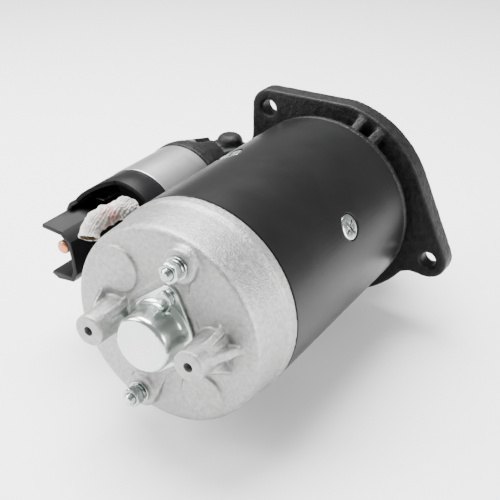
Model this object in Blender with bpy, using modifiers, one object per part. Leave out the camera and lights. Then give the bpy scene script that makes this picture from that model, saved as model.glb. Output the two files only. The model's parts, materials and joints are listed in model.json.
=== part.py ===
"""Starter motor with a side-mounted solenoid, as an assembly of separate pieces.

The shaft runs along +Y towards the drive end and +Z is up. The pieces are laid out around the shaft:
their x and z are measured from its axis, and their y from the joint between the rear end shield and the yoke.
One empty then sets the whole assembly down on the ground plane. Angles are counted from +X towards +Z.
"""

import math

import bmesh
import bpy
from mathutils import Matrix

MM = 0.001
GAP = 0.3 * MM
WELD = 0.001 * MM
# Rods are turned a little, so that their corners don't meet another shape's corners in a Boolean
OFF_GRID = math.radians(4)

# Yoke and end shield
YOKE_RADIUS = 57.5 * MM
YOKE_INSIDE = 52.0 * MM
YOKE_END = 132.0 * MM
SPIGOT_RADIUS = 51.7 * MM
SHIELD_FACE_Y = -34.2 * MM
SHIELD_FACE_RADIUS = 52.4 * MM
HUB_Y = -35.0 * MM
SUPPORT_BOSS_X = 30.0 * MM
SUPPORT_BOSS_Y = -56.5 * MM
SUPPORT_BOSS_RADIUS = 8.5 * MM
BOLT_CIRCLE = 43.0 * MM
BOLT_ANGLES = (71.5, 251.5)
BOLT_RADIUS = 3.0 * MM
BOLT_SEAT_Y = -39.0 * MM
CAP_FACE_Y = -54.0 * MM
CAP_SCREW_REACH = 21.5 * MM
CAP_ANGLE = 75.0

# Poles and armature
POLE_ANGLES = (26.5, 116.5, 206.5, 296.5)
POLE_Y = 69.0 * MM
POLE_LENGTH = 66.0 * MM
CORE_RADIUS = 37.8 * MM
SHAFT_RADIUS = 9.0 * MM
SLOT_COUNT = 25
COMMUTATOR_RADIUS = 21.0 * MM

# Drive
SPLINE_RADIUS = 8.4 * MM
COLLAR_RADIUS = 19.0 * MM
GROOVE_RADIUS = 15.0 * MM
GROOVE_Y = 139.5 * MM
GROOVE_WIDTH = 7.0 * MM
CLUTCH_RADIUS = 28.0 * MM
CLUTCH_FRONT = 162.0 * MM
PINION_RADIUS = 18.0 * MM
PINION_ROOT = 13.5 * MM
PINION_TEETH = 10
PINION_FRONT = 181.0 * MM

# Drive-end housing
FLANGE_REAR = 145.0 * MM
FLANGE_FRONT = 157.0 * MM
FLANGE_RADIUS = 65.0 * MM
EAR_TIP = 12.0 * MM
EAR_HOLE = 5.2 * MM
PILOT_RADIUS = 44.45 * MM
NOSE_END = 212.0 * MM

# Solenoid and fork
SOLENOID_X = -87.4 * MM
SOLENOID_Z = 1.9 * MM
SOLENOID_RADIUS = 28.4 * MM
SOLENOID_REAR = 62.0 * MM
SOLENOID_FRONT = 107.0 * MM
HEAD_RADIUS = 29.3 * MM
HOOD_Y = 44.0 * MM
TERMINAL_REACH = 11.6 * MM
TERMINAL_TILT = 5.0
STUD_END_Y = 3.0 * MM
PIVOT_X = -56.0 * MM
PIVOT_Y = 139.2 * MM

# Each ear: the radius and angle of its hole, then where its two flanks leave the flange
EARS = (
    (69.0 * MM, 131.0, (10.7 * MM, 64.1 * MM), (-57.3 * MM, 30.7 * MM)),
    (74.0 * MM, 235.4, (-53.2 * MM, -37.3 * MM), (-17.0 * MM, -62.7 * MM)),
    (74.0 * MM, -20.3, (58.6 * MM, -36.4 * MM), (58.9 * MM, 27.5 * MM)),
)

# The whole assembly's reach from the shaft axis, which sets it down centred on the ground plane
REACH_LEFT = SOLENOID_X - HEAD_RADIUS
REACH_RIGHT = EARS[2][0] * math.cos(math.radians(EARS[2][1])) + EAR_TIP
REACH_DOWN = EARS[1][0] * math.sin(math.radians(EARS[1][1])) - EAR_TIP
ORIGIN = (
    -(REACH_LEFT + REACH_RIGHT) / 2,
    -(SUPPORT_BOSS_Y + NOSE_END) / 2,
    -REACH_DOWN,
)

BLACK_PAINT = ((0.020, 0.020, 0.022), 0.38, 0.0)
ROUGH_BLACK = ((0.018, 0.018, 0.019), 0.62, 0.0)
CAST_ALUMINIUM = ((0.62, 0.62, 0.60), 0.48, 1.0)
BRIGHT_ZINC = ((0.70, 0.74, 0.72), 0.28, 1.0)
SATIN_ZINC = ((0.58, 0.59, 0.59), 0.40, 1.0)
STEEL = ((0.45, 0.45, 0.46), 0.38, 1.0)
LAMINATION = ((0.30, 0.30, 0.31), 0.50, 1.0)
COPPER = ((0.80, 0.42, 0.28), 0.35, 1.0)
BRONZE = ((0.55, 0.38, 0.20), 0.45, 1.0)
BRASS = ((0.75, 0.60, 0.32), 0.35, 1.0)
CARBON = ((0.05, 0.045, 0.045), 0.60, 0.2)
BLACK_PLASTIC = ((0.030, 0.030, 0.032), 0.45, 0.0)
RUBBER = ((0.02, 0.02, 0.02), 0.80, 0.0)
FIBRE = ((0.30, 0.16, 0.08), 0.70, 0.0)
TAPE = ((0.55, 0.45, 0.28), 0.80, 0.0)
WHITE_SLEEVE = ((0.80, 0.79, 0.76), 0.90, 0.0)


# ---------------------------------------------------------------- scene, finishes and placing


def clear_scene():
    for item in list(bpy.data.objects):
        bpy.data.objects.remove(item)


def collection(name, hidden=False):
    made = bpy.data.collections.new(name)
    made.hide_render = hidden
    bpy.context.scene.collection.children.link(made)
    return made


clear_scene()
PARTS = collection("starter_motor")
SHAPES = collection("cutters_and_guides", hidden=True)


def empty(name, parent=None, location=(0, 0, 0)):
    made = bpy.data.objects.new(name, None)
    made.location = location
    made.parent = parent
    PARTS.objects.link(made)
    return made


def finish_of(name, look):
    colour, roughness, metallic = look
    made = bpy.data.materials.new(name + "_finish")
    made.use_nodes = True
    shader = made.node_tree.nodes["Principled BSDF"]
    shader.inputs["Base Color"].default_value = (*colour, 1)
    shader.inputs["Roughness"].default_value = roughness
    shader.inputs["Metallic"].default_value = metallic
    return made


ROOT = empty("motor_axis", location=ORIGIN)
ARMATURE = empty("armature_axis", ROOT)
DRIVE = empty("drive_axis", ARMATURE)
PINION = empty("pinion_axis", DRIVE)


def place(name, mesh, look=None, at=(0, 0, 0), turn=(0, 0, 0), parent=None):
    """An object in the assembly. With no look it is a helper that shapes other pieces."""
    mesh.shade_smooth()
    mesh.set_sharp_from_angle(angle=math.radians(35))
    made = bpy.data.objects.new(name, mesh)
    made.location = at
    made.rotation_euler = turn
    made.parent = parent or ROOT
    if look:
        PARTS.objects.link(made)
        mesh.materials.append(finish_of(name, look))
    else:
        SHAPES.objects.link(made)
        made.hide_render = True
        made.display_type = "WIRE"
    return made


def combine(target, operation, helpers):
    for helper in helpers:
        step = target.modifiers.new(helper.name, "BOOLEAN")
        step.operation = operation
        step.object = helper
        step.solver = "EXACT"
    return target


def cut(target, helpers):
    return combine(target, "DIFFERENCE", helpers)


def unite(target, helpers):
    return combine(target, "UNION", helpers)


def gathered(name, pieces):
    """One helper made of several, so that a row of like shapes joins or cuts in one step."""
    graph = bpy.context.evaluated_depsgraph_get()
    shape = bmesh.new()
    for piece in pieces:
        mesh = bpy.data.meshes.new_from_object(piece.evaluated_get(graph))
        mesh.transform(piece.matrix_basis)
        shape.from_mesh(mesh)
        bpy.data.objects.remove(piece)
    mesh = bpy.data.meshes.new(name)
    shape.to_mesh(mesh)
    shape.free()
    return place(name, mesh)


# ---------------------------------------------------------------- outlines


def polar(radius, degrees):
    angle = math.radians(degrees)
    return (radius * math.cos(angle), radius * math.sin(angle))


def arc(centre, radius, start, end, steps):
    """Points from start to end, in degrees, both ends included."""
    points = []
    for step in range(steps + 1):
        x, y = polar(radius, start + (end - start) * step / steps)
        points.append((centre[0] + x, centre[1] + y))
    return points


def circle(radius, steps, centre=(0, 0)):
    return arc(centre, radius, 0, 360 - 360 / steps, steps - 1)


def mirrored(points):
    """A half outline followed by its mirror image across the first axis."""
    return points + [(x, -y) for x, y in reversed(points)]


def tangent_angle(centre, radius, point, side):
    """The angle on a circle where the line from a point outside touches it."""
    dx, dy = point[0] - centre[0], point[1] - centre[1]
    spread = math.degrees(math.acos(radius / math.hypot(dx, dy)))
    return math.degrees(math.atan2(dy, dx)) + side * spread


def two_lobed_outline(middle_radius, reach, tip_radius, degrees, steps=16):
    """A round middle with two round tips, joined by straight flanks."""
    lean = math.degrees(math.acos((middle_radius - tip_radius) / reach))
    points = []
    for heading in (degrees, degrees + 180):
        tip = polar(reach, heading)
        points += arc(tip, tip_radius, heading - lean, heading + lean, steps // 2)
        points += arc((0, 0), middle_radius, heading + lean, heading + 180 - lean, steps // 2)
    return points


# ---------------------------------------------------------------- shapes


def turned_mesh(name, profile):
    """The profile of a turned piece: radius and height, down its outer side first. It closes unless it ends on the axis."""
    mesh = bpy.data.meshes.new(name)
    ends = list(range(1, len(profile))) + [0]
    edges = [(i, j) for i, j in enumerate(ends) if profile[i][0] or profile[j][0]]
    mesh.from_pydata([(radius, 0, height) for radius, height in profile], edges, [])
    return mesh


def turned(name, profile, look=None, at=(0, 0), steps=32, turn=None, parent=None):
    """A piece turned about a line along Y through (x, z), unless turn says otherwise."""
    place_at = at if len(at) == 3 else (at[0], 0, at[1])
    made = place(name, turned_mesh(name, profile), look, place_at, turn or (-math.pi / 2, 0, 0), parent)
    screw = made.modifiers.new("turn", "SCREW")
    screw.steps = steps
    screw.render_steps = steps
    screw.use_merge_vertices = True
    screw.merge_threshold = WELD
    screw.use_smooth_shade = True
    return made


def ring(name, outer, inner, y_from, y_to, look=None, at=(0, 0), steps=32, parent=None):
    profile = [(outer, y_to), (outer, y_from), (inner, y_from), (inner, y_to)]
    return turned(name, profile, look, at, steps, parent=parent)


def rod(name, radius, y_from, y_to, look=None, at=(0, 0), steps=16, parent=None):
    shape = bmesh.new()
    bmesh.ops.create_cone(
        shape, cap_ends=True, segments=steps, radius1=radius, radius2=radius, depth=y_to - y_from
    )
    mesh = bpy.data.meshes.new(name)
    shape.to_mesh(mesh)
    shape.free()
    middle = (at[0], (y_from + y_to) / 2, at[1])
    return place(name, mesh, look, middle, (-math.pi / 2, OFF_GRID, 0), parent)


def cone(name, rear_radius, front_radius, y_from, y_to, at=(0, 0), steps=16):
    profile = [(0, y_to), (front_radius, y_to), (rear_radius, y_from), (0, y_from)]
    return turned(name, profile, None, at, steps)


def block(name, low, high, look=None, turn=(0, 0, 0), parent=None):
    shape = bmesh.new()
    bmesh.ops.create_cube(shape, size=1)
    size = [top - bottom for bottom, top in zip(low, high)]
    bmesh.ops.scale(shape, vec=size, verts=shape.verts)
    middle = [(bottom + top) / 2 for bottom, top in zip(low, high)]
    bmesh.ops.translate(shape, vec=middle, verts=shape.verts)
    mesh = bpy.data.meshes.new(name)
    shape.to_mesh(mesh)
    shape.free()
    return place(name, mesh, look, turn=turn, parent=parent)


def mesh_of_curve(name, curve):
    """The closed mesh of a curve, with its caps welded to its sides."""
    guide = bpy.data.objects.new(name, curve)
    bpy.context.scene.collection.objects.link(guide)
    graph = bpy.context.evaluated_depsgraph_get()
    mesh = bpy.data.meshes.new_from_object(guide.evaluated_get(graph))
    bpy.data.objects.remove(guide)
    shape = bmesh.new()
    shape.from_mesh(mesh)
    bmesh.ops.remove_doubles(shape, verts=shape.verts, dist=WELD)
    bmesh.ops.recalc_face_normals(shape, faces=shape.faces)
    shape.to_mesh(mesh)
    shape.free()
    return mesh


def slab_mesh(name, outlines, thickness):
    """A flat piece from closed outlines: one inside another is a hole."""
    curve = bpy.data.curves.new(name, "CURVE")
    curve.dimensions = "2D"
    curve.fill_mode = "BOTH"
    curve.extrude = thickness / 2
    for outline in outlines:
        corners = [this for this, last in zip(outline, outline[-1:] + outline[:-1]) if math.dist(this, last) > WELD]
        spline = curve.splines.new("POLY")
        spline.points.add(len(corners) - 1)
        for point, (x, y) in zip(spline.points, corners):
            point.co = (x, y, 0, 1)
        spline.use_cyclic_u = True
    return mesh_of_curve(name, curve)


def face_plate(name, outlines, y_from, y_to, look=None, at=(0, 0), degrees=0, parent=None):
    """A slab that lies across the shaft: its outlines are in x and z."""
    mesh = slab_mesh(name, outlines, y_to - y_from)
    middle = (at[0], (y_from + y_to) / 2, at[1])
    return place(name, mesh, look, middle, (math.pi / 2, -math.radians(degrees), 0), parent)


def rib(name, outline, thickness, degrees, at=(0, 0)):
    """A web along the shaft that points the given way: its outline is in reach and y."""
    mesh = slab_mesh(name, [outline], thickness)
    return place(name, mesh, None, (at[0], 0, at[1]), (0, -math.radians(degrees), 0))


def wire_mesh(name, points, radius, closed=False, detail=2):
    curve = bpy.data.curves.new(name, "CURVE")
    curve.dimensions = "3D"
    curve.bevel_depth = radius
    curve.bevel_resolution = detail
    curve.use_fill_caps = not closed
    spline = curve.splines.new("POLY")
    spline.points.add(len(points) - 1)
    for point, place_at in zip(spline.points, points):
        point.co = (*place_at, 1)
    spline.use_cyclic_u = closed
    return mesh_of_curve(name, curve)


def smooth_route(points, steps):
    """Points read from a smooth curve through each of the route's own points."""
    ends = [points[0], *points, points[-1]]
    route = []
    for before, start, end, after in zip(ends, ends[1:], ends[2:], ends[3:]):
        for step in range(steps):
            t = step / steps
            route.append(
                [
                    0.5 * (2 * b + (c - a) * t + (2 * a - 5 * b + 4 * c - d) * t**2 + (3 * b - a - 3 * c + d) * t**3)
                    for a, b, c, d in zip(before, start, end, after)
                ]
            )
    return route + [points[-1]]


def hex_nut(name, across, hole, y_from, y_to, at, degrees=0, look=None):
    """A nut or a bolt head: with no hole it is a head."""
    corner = across / 2 / math.cos(math.pi / 6)
    outlines = [circle(corner, 6)] + ([circle(hole, 12)] if hole else [])
    return face_plate(name, outlines, y_from, y_to, look, at, degrees)


# ---------------------------------------------------------------- yoke, poles and coils


def radial(name, profile, degrees, y, look=None, steps=14):
    """A turned piece whose own axis points outward from the shaft: heights are radii of the motor."""
    return turned(name, profile, look, (0, y, 0), steps, (0, math.pi / 2 - math.radians(degrees), 0))


SCREW_HEAD = 7.5 * MM
SCREW_SHANK = 4.0 * MM


def make_yoke():
    yoke = ring("yoke", YOKE_RADIUS, YOKE_INSIDE, GAP, YOKE_END, BLACK_PAINT, steps=44)
    seat = YOKE_RADIUS - 1.6 * MM
    hole = [
        (0, YOKE_RADIUS + 2 * MM),
        (SCREW_HEAD + GAP, YOKE_RADIUS + 2 * MM),
        (SCREW_HEAD + GAP, seat),
        (SCREW_SHANK + GAP, seat - 2.5 * MM),
        (SCREW_SHANK + GAP, YOKE_INSIDE - 3 * MM),
        (0, YOKE_INSIDE - 3 * MM),
    ]
    cutters = [radial(f"pole_hole_{i}", hole, angle, POLE_Y) for i, angle in enumerate(POLE_ANGLES)]
    cutters.append(radial("lead_hole", [(0, 70 * MM), (5.5 * MM, 70 * MM), (5.5 * MM, 45 * MM), (0, 45 * MM)],
                          LEAD_ANGLE, LEAD_Y, steps=16))
    cut(yoke, cutters)


LEAD_ANGLE = 168.0
LEAD_Y = 10.0 * MM


def make_pole_screws():
    head = YOKE_RADIUS - 1.6 * MM
    profile = [
        (0, head + 1.3 * MM),
        (6.5 * MM, head + 1.3 * MM),
        (SCREW_HEAD, head + 0.6 * MM),
        (SCREW_HEAD, head + GAP),
        (SCREW_SHANK, head - 2.2 * MM),
        (SCREW_SHANK, 42.6 * MM),
        (0, 42.6 * MM),
    ]
    for number, angle in enumerate(POLE_ANGLES, start=1):
        radial(f"pole_screw_{number}", profile, angle, POLE_Y, SATIN_ZINC)


def pole_outline():
    """Half of a pole shoe's section, centred on the first axis: back, flank, horn and face."""
    back, flank, horn, face = 51.7 * MM, 19.0, 33.0, 38.5 * MM
    half = arc((0, 0), back, 0, flank, 3)
    half += [polar(43.6 * MM, flank), polar(42.6 * MM, 24.0), polar(40.6 * MM, horn)]
    half += arc((0, 0), face, horn, 4.0, 4)
    return mirrored(half[1:])


def make_pole_shoes():
    for number, angle in enumerate(POLE_ANGLES, start=1):
        mid = POLE_LENGTH / 2
        shoe = face_plate(f"pole_shoe_{number}", [pole_outline()], POLE_Y - mid, POLE_Y + mid, LAMINATION, degrees=angle)
        thread = [(0, 60 * MM), (SCREW_SHANK + GAP, 60 * MM), (SCREW_SHANK + GAP, 42.0 * MM), (0, 42.0 * MM)]
        cut(shoe, [radial(f"pole_thread_{number}", thread, angle, POLE_Y, steps=14)])


COIL_SECTION = (3.3 * MM, 4.6 * MM)


def coil_route(half_angle, half_length, corner, steps=3):
    """The middle of a coil: angle and y around the pole body, with round corners."""
    corner_angle = math.degrees(corner / (48 * MM))
    route = []
    for sx, sy, start in ((1, 1, 0), (-1, 1, 90), (-1, -1, 180), (1, -1, 270)):
        for step in range(steps + 1):
            turn = math.radians(start + 90 * step / steps)
            angle = sx * (half_angle - corner_angle) + corner_angle * math.cos(turn)
            along = sy * (half_length - corner) + corner * math.sin(turn)
            route.append((angle, along))
    return route


def coil_strap(degrees):
    """A flat strap that joins the ends of two neighbouring coils."""
    band = arc((0, 0), 49.6 * MM, degrees - 16, degrees + 16, 6) + arc((0, 0), 46.7 * MM, degrees + 16, degrees - 16, 6)
    return face_plate(f"coil_strap_{degrees}", [band], 27 * MM, 31 * MM)


def make_field_winding():
    """Each coil is a loft of one section around its pole, bent to the yoke's curve. Straps join the four in series."""
    deep, wide = COIL_SECTION
    middle = 47.9 * MM
    route = coil_route(27.3, 39.6 * MM, 6 * MM)
    inner = coil_route(27.3 - math.degrees(wide / middle), 39.6 * MM - wide, 2.0 * MM)
    outer = coil_route(27.3 + math.degrees(wide / middle), 39.6 * MM + wide, 10.0 * MM)
    coils = []
    for number, pole in enumerate(POLE_ANGLES, start=1):
        shape = bmesh.new()
        loops = []
        for inside, centre, outside in zip(inner, route, outer):
            section = []
            corners = (
                (inside, -deep * 0.7), (centre, -deep), (outside, -deep * 0.7),
                (outside, deep * 0.7), (centre, deep), (inside, deep * 0.7),
            )
            for (angle, along), rise in corners:
                x, z = polar(middle + rise, angle)
                section.append(shape.verts.new((x, along, z)))
            loops.append(section)
        for this, following in zip(loops, loops[1:] + loops[:1]):
            for i in range(6):
                j = (i + 1) % 6
                shape.faces.new((this[i], following[i], following[j], this[j]))
        bmesh.ops.recalc_face_normals(shape, faces=shape.faces)
        bmesh.ops.translate(shape, vec=(0, POLE_Y, 0), verts=shape.verts)
        bmesh.ops.rotate(shape, matrix=Matrix.Rotation(-math.radians(pole), 3, "Y"), verts=shape.verts)
        mesh = bpy.data.meshes.new(f"field_coil_{number}")
        shape.to_mesh(mesh)
        shape.free()
        coils.append(mesh)
    winding = place("field_winding", coils[0], TAPE)
    others = [place(mesh.name, mesh) for mesh in coils[1:]]
    unite(winding, others + [coil_strap(angle) for angle in (71.5, 251.5, 341.5)])


# ---------------------------------------------------------------- rear end shield


def gusset(name, degrees, x, reach=15 * MM, top=-50 * MM):
    start = 4 * MM
    outline = [(start, top), (8.8 * MM, top + 2 * MM), (reach, SHIELD_FACE_Y - 0.6 * MM), (reach, -31.2 * MM), (start, -31.2 * MM)]
    return rib(name, outline, 4 * MM, degrees, (x, 0))


def shield_additions():
    added = [face_plate("hub_boss", [two_lobed_outline(22.4 * MM, CAP_SCREW_REACH, 9.0 * MM, CAP_ANGLE)],
                        HUB_Y, -31.3 * MM)]
    for side in (-1, 1):
        x = side * SUPPORT_BOSS_X
        added.append(cone(f"support_boss_{side}", SUPPORT_BOSS_RADIUS, 9.4 * MM, SUPPORT_BOSS_Y, -31.5 * MM, (x, 0)))
    for number, (x, degrees, reach) in enumerate(((-1, 133, 14), (-1, 48, 12), (1, 63, 13), (1, 8, 16.5), (1, -55, 16.5))):
        added.append(gusset(f"gusset_{number}", degrees, x * SUPPORT_BOSS_X, reach * MM))
    for number, (x, z) in enumerate(((-27.0, 26.2), (23.0, -32.6))):
        added.append(cone(f"pad_{number}", 12.6 * MM, 13.1 * MM, SHIELD_FACE_Y - 1.6 * MM, -31.4 * MM, (x * MM, z * MM)))
    for number, degrees in enumerate(BOLT_ANGLES):
        added.append(cone(f"stud_boss_{number}", 9.3 * MM, 10.2 * MM, BOLT_SEAT_Y, -31.6 * MM, polar(BOLT_CIRCLE, degrees)))
        web = [(20 * MM, -34.7 * MM), (29.5 * MM, -35.4 * MM), (36 * MM, -38.0 * MM), (41 * MM, -38.0 * MM), (41 * MM, -31.7 * MM),
               (20 * MM, -31.7 * MM)]
        added.append(rib(f"stud_web_{number}", web, 17 * MM, degrees + 2))
    return added


def shield_holes():
    holes = [rod("bearing_bore", 8.3 * MM, -60 * MM, 0)]
    for side in (-1, 1):
        holes.append(rod(f"support_tapping_{side}", 2.5 * MM, -60 * MM, -36.3 * MM, at=(side * SUPPORT_BOSS_X, 0), steps=12))
    for number, degrees in enumerate(BOLT_ANGLES):
        holes.append(rod(f"bolt_passage_{number}", BOLT_RADIUS + GAP, -60 * MM, 10 * MM,
                         at=polar(BOLT_CIRCLE, degrees), steps=12))
    for number, degrees in enumerate((CAP_ANGLE, CAP_ANGLE + 180)):
        holes.append(rod(f"cap_tapping_{number}", 2.4 * MM, -50 * MM, -26.6 * MM, at=polar(CAP_SCREW_REACH, degrees), steps=12))
    return holes


def make_rear_end_shield():
    face = SHIELD_FACE_Y
    profile = [
        (SPIGOT_RADIUS, 4 * MM), (SPIGOT_RADIUS, 0), (YOKE_RADIUS, 0), (YOKE_RADIUS, -7.0 * MM),
        (56.6 * MM, -8.2 * MM), (55.1 * MM, -31.2 * MM), (54.3 * MM, -33.3 * MM), (SHIELD_FACE_RADIUS, face),
        (7 * MM, face), (7 * MM, -17.5 * MM), (12.5 * MM, -17.5 * MM), (13.5 * MM, -30.3 * MM), (48.4 * MM, -30.3 * MM),
        (49 * MM, 4 * MM),
    ]
    shield = turned("rear_end_shield", profile, CAST_ALUMINIUM, steps=44)
    unite(shield, shield_additions())
    cut(shield, shield_holes())


def make_end_cap():
    foot_front, foot_back = HUB_Y - 2.1 * MM, HUB_Y - GAP
    body = [
        (17.0 * MM, foot_back - 0.4 * MM), (17.0 * MM, foot_front - 0.1 * MM), (16.1 * MM, -38.6 * MM),
        (15.6 * MM, -41 * MM), (15.5 * MM, -52.4 * MM), (13.9 * MM, CAP_FACE_Y), (0, CAP_FACE_Y),
        (0, CAP_FACE_Y + 1.2 * MM), (14.2 * MM, CAP_FACE_Y + 1.2 * MM), (14.4 * MM, foot_back - 0.4 * MM),
    ]
    cap = turned("end_cap", body, BRIGHT_ZINC, steps=32)
    outline = two_lobed_outline(19.4 * MM, CAP_SCREW_REACH, 6.2 * MM, CAP_ANGLE)
    holes = [circle(2.5 * MM, 12, polar(CAP_SCREW_REACH, CAP_ANGLE + turn)) for turn in (0, 180)]
    foot = face_plate("cap_foot", [outline, circle(15 * MM, 24)] + holes, foot_front, foot_back)
    unite(cap, [foot])


def make_cap_screws():
    seat = HUB_Y - 2.1 * MM - GAP
    for number, degrees in enumerate((CAP_ANGLE, CAP_ANGLE + 180), start=1):
        at = polar(CAP_SCREW_REACH, degrees)
        head = hex_nut(f"cap_screw_head_{number}", 8 * MM, 0, seat - 3.6 * MM, seat - 0.8 * MM, at, 10)
        body = turned(f"end_cap_screw_{number}",
                      [(0, -27.6 * MM), (2.1 * MM, -27.6 * MM), (2.1 * MM, seat), (4.1 * MM, seat),
                       (4.1 * MM, seat - MM), (3.5 * MM, seat - MM), (3.5 * MM, seat - 1.6 * MM), (0, seat - 1.6 * MM)],
                      SATIN_ZINC, at, 16)
        unite(body, [head])


def make_through_bolts():
    seat = BOLT_SEAT_Y
    for number, degrees in enumerate(BOLT_ANGLES, start=1):
        at = polar(BOLT_CIRCLE, degrees)
        profile = [
            (0, 141.5 * MM), (BOLT_RADIUS, 141.5 * MM), (BOLT_RADIUS, -49.4 * MM), (2.3 * MM, -50.2 * MM), (0, -50.2 * MM)
        ]
        turned(f"through_bolt_{number}", profile, STEEL, at, 12)
        ring(f"through_bolt_washer_{number}", 6.0 * MM, 3.3 * MM, seat - 1.6 * MM, seat - GAP, SATIN_ZINC, at, 16)
        spring = ring(f"spring_washer_{number}", 5.3 * MM, 3.3 * MM, seat - 3.3 * MM, seat - 1.9 * MM, SATIN_ZINC, at, 16)
        slit = block(f"washer_slit_{number}", (at[0], seat - 5 * MM, at[1] - 0.4 * MM),
                     (at[0] + 8 * MM, seat - MM, at[1] + 0.4 * MM))
        cut(spring, [slit])
        nut = (seat - 8.6 * MM, seat - 3.6 * MM)
        hex_nut(f"through_bolt_nut_{number}", 10 * MM, 3.3 * MM, *nut, at, 15, SATIN_ZINC)


# ---------------------------------------------------------------- bearings, shaft and armature


def make_bushes():
    ring("rear_bush", 8.0 * MM, 6.3 * MM, -35.2 * MM, -17.8 * MM, BRONZE, steps=28)
    ring("nose_bush", 9.5 * MM, 7.2 * MM, 200 * MM, NOSE_END - MM, BRONZE, steps=28)


def make_centre_plate():
    profile = [
        (SPIGOT_RADIUS, 133 * MM), (SPIGOT_RADIUS, 128.5 * MM), (20 * MM, 128.5 * MM), (17 * MM, 124.4 * MM),
        (SHAFT_RADIUS + 0.2 * MM, 124.4 * MM), (SHAFT_RADIUS + 0.2 * MM, 133 * MM),
    ]
    plate = turned("centre_bearing_plate", profile, CAST_ALUMINIUM, steps=32)
    holes = [rod(f"plate_hole_{n}", BOLT_RADIUS + GAP, 120 * MM, 140 * MM, at=polar(BOLT_CIRCLE, a), steps=12)
             for n, a in enumerate(BOLT_ANGLES)]
    cut(plate, holes)


def make_shaft():
    profile = [
        (0, 209 * MM), (6.2 * MM, 209 * MM), (6.9 * MM, 208.3 * MM), (6.9 * MM, 199.3 * MM), (SPLINE_RADIUS, 199.3 * MM),
        (SPLINE_RADIUS, 134 * MM), (SHAFT_RADIUS, 133.6 * MM), (SHAFT_RADIUS, -17 * MM), (6.1 * MM, -17 * MM),
        (6.1 * MM, -45.4 * MM), (5.3 * MM, -46.2 * MM), (0, -46.2 * MM),
    ]
    turned("armature_shaft", profile, STEEL, steps=28, parent=ARMATURE)


def slotted_outline(radius, floor, half_width, count):
    """A round outline with narrow open slots, each given by its half width."""
    points = []
    for slot in range(count):
        heading = 360 * slot / count
        edge = math.degrees(math.asin(half_width / radius))
        foot = math.degrees(math.asin(half_width / floor))
        points += [polar(radius, heading - edge), polar(floor, heading - foot)]
        points += [polar(floor, heading + foot), polar(radius, heading + edge)]
    return points


def make_core():
    outline = slotted_outline(CORE_RADIUS, 28.5 * MM, 1.5 * MM, SLOT_COUNT)
    face_plate("armature_core", [outline, circle(9.3 * MM, 24)], 36 * MM, 102 * MM, LAMINATION, parent=ARMATURE)


def make_winding():
    """Two heads and the bars that lie in the core's slots, as one piece of copper."""
    front = [(36.5 * MM, 35.7 * MM), (36.5 * MM, 26 * MM), (33 * MM, 18 * MM), (26 * MM, 14 * MM), (20 * MM, 14 * MM),
             (20 * MM, 35.7 * MM)]
    rear = [(28 * MM, 120 * MM), (34.5 * MM, 117 * MM), (36.5 * MM, 110 * MM), (36.5 * MM, 102.3 * MM),
            (20 * MM, 102.3 * MM), (20 * MM, 120 * MM)]
    winding = turned("armature_winding", front, COPPER, steps=25, parent=ARMATURE)
    bars = []
    for number in range(SLOT_COUNT):
        bar = block(f"bar_{number}", (29.2 * MM, 33 * MM, -1.1 * MM), (35.6 * MM, 105 * MM, 1.1 * MM))
        bar.rotation_euler = (0, -math.radians(360 * number / SLOT_COUNT), 0)
        bars.append(bar)
    unite(winding, [turned("rear_head", rear, steps=25), gathered("winding_bars", bars)])


def make_commutator():
    outline = slotted_outline(COMMUTATOR_RADIUS, COMMUTATOR_RADIUS - 1.2 * MM, 0.35 * MM, SLOT_COUNT)
    drum = face_plate("commutator", [outline, circle(9.3 * MM, 24)], -16.5 * MM, 8 * MM, COPPER, parent=ARMATURE)
    unite(drum, [ring("riser", 26 * MM, 9.8 * MM, 7 * MM, 11 * MM, steps=28)])


# ---------------------------------------------------------------- brush gear

BRUSH_Y = (-15.0 * MM, -3.0 * MM)
BRUSH_HALF = 4.0 * MM
BRUSH_FOOT = 21.5 * MM
BRUSH_TOP = 37.5 * MM
PLATE_Y = (-0.6 * MM, 1.4 * MM)


def brush_box(number, degrees):
    wall = 1.2 * MM
    low, high = BRUSH_Y
    box = block(f"brush_box_{number}", (24.5 * MM, low - GAP - wall, -BRUSH_HALF - GAP - wall),
                (36.5 * MM, PLATE_Y[0] + 0.5 * MM, BRUSH_HALF + GAP + wall))
    box.rotation_euler = (0, -math.radians(degrees), 0)
    tunnel = block(f"brush_tunnel_{number}", (20 * MM, low - GAP, -BRUSH_HALF - GAP), (50 * MM, high + GAP, BRUSH_HALF + GAP))
    tunnel.rotation_euler = box.rotation_euler
    return box, tunnel


def spring_post_at(degrees):
    """A post stands beside each brush, a little way round the plate."""
    x, z = 31 * MM, -13 * MM
    angle = math.radians(degrees)
    return (x * math.cos(angle) - z * math.sin(angle), x * math.sin(angle) + z * math.cos(angle))


def make_brush_plate():
    holes = [circle(BOLT_RADIUS + GAP + 0.4 * MM, 12, polar(BOLT_CIRCLE, a)) for a in BOLT_ANGLES]
    plate = face_plate("brush_plate", [circle(48.6 * MM, 36), circle(28 * MM, 28)] + holes, *PLATE_Y, SATIN_ZINC)
    boxes, tunnels = zip(*(brush_box(n, a) for n, a in enumerate(POLE_ANGLES)))
    posts = [rod(f"spring_post_{n}", 2 * MM, -16 * MM, PLATE_Y[0] + 0.5 * MM, at=spring_post_at(a), steps=12)
             for n, a in enumerate(POLE_ANGLES)]
    unite(plate, list(boxes) + posts)
    cut(plate, tunnels)


def make_brushes():
    for number, degrees in enumerate(POLE_ANGLES, start=1):
        brush = block(f"brush_{number}", (BRUSH_FOOT, BRUSH_Y[0], -BRUSH_HALF), (BRUSH_TOP, BRUSH_Y[1], BRUSH_HALF), CARBON)
        brush.rotation_euler = (0, -math.radians(degrees), 0)


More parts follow.
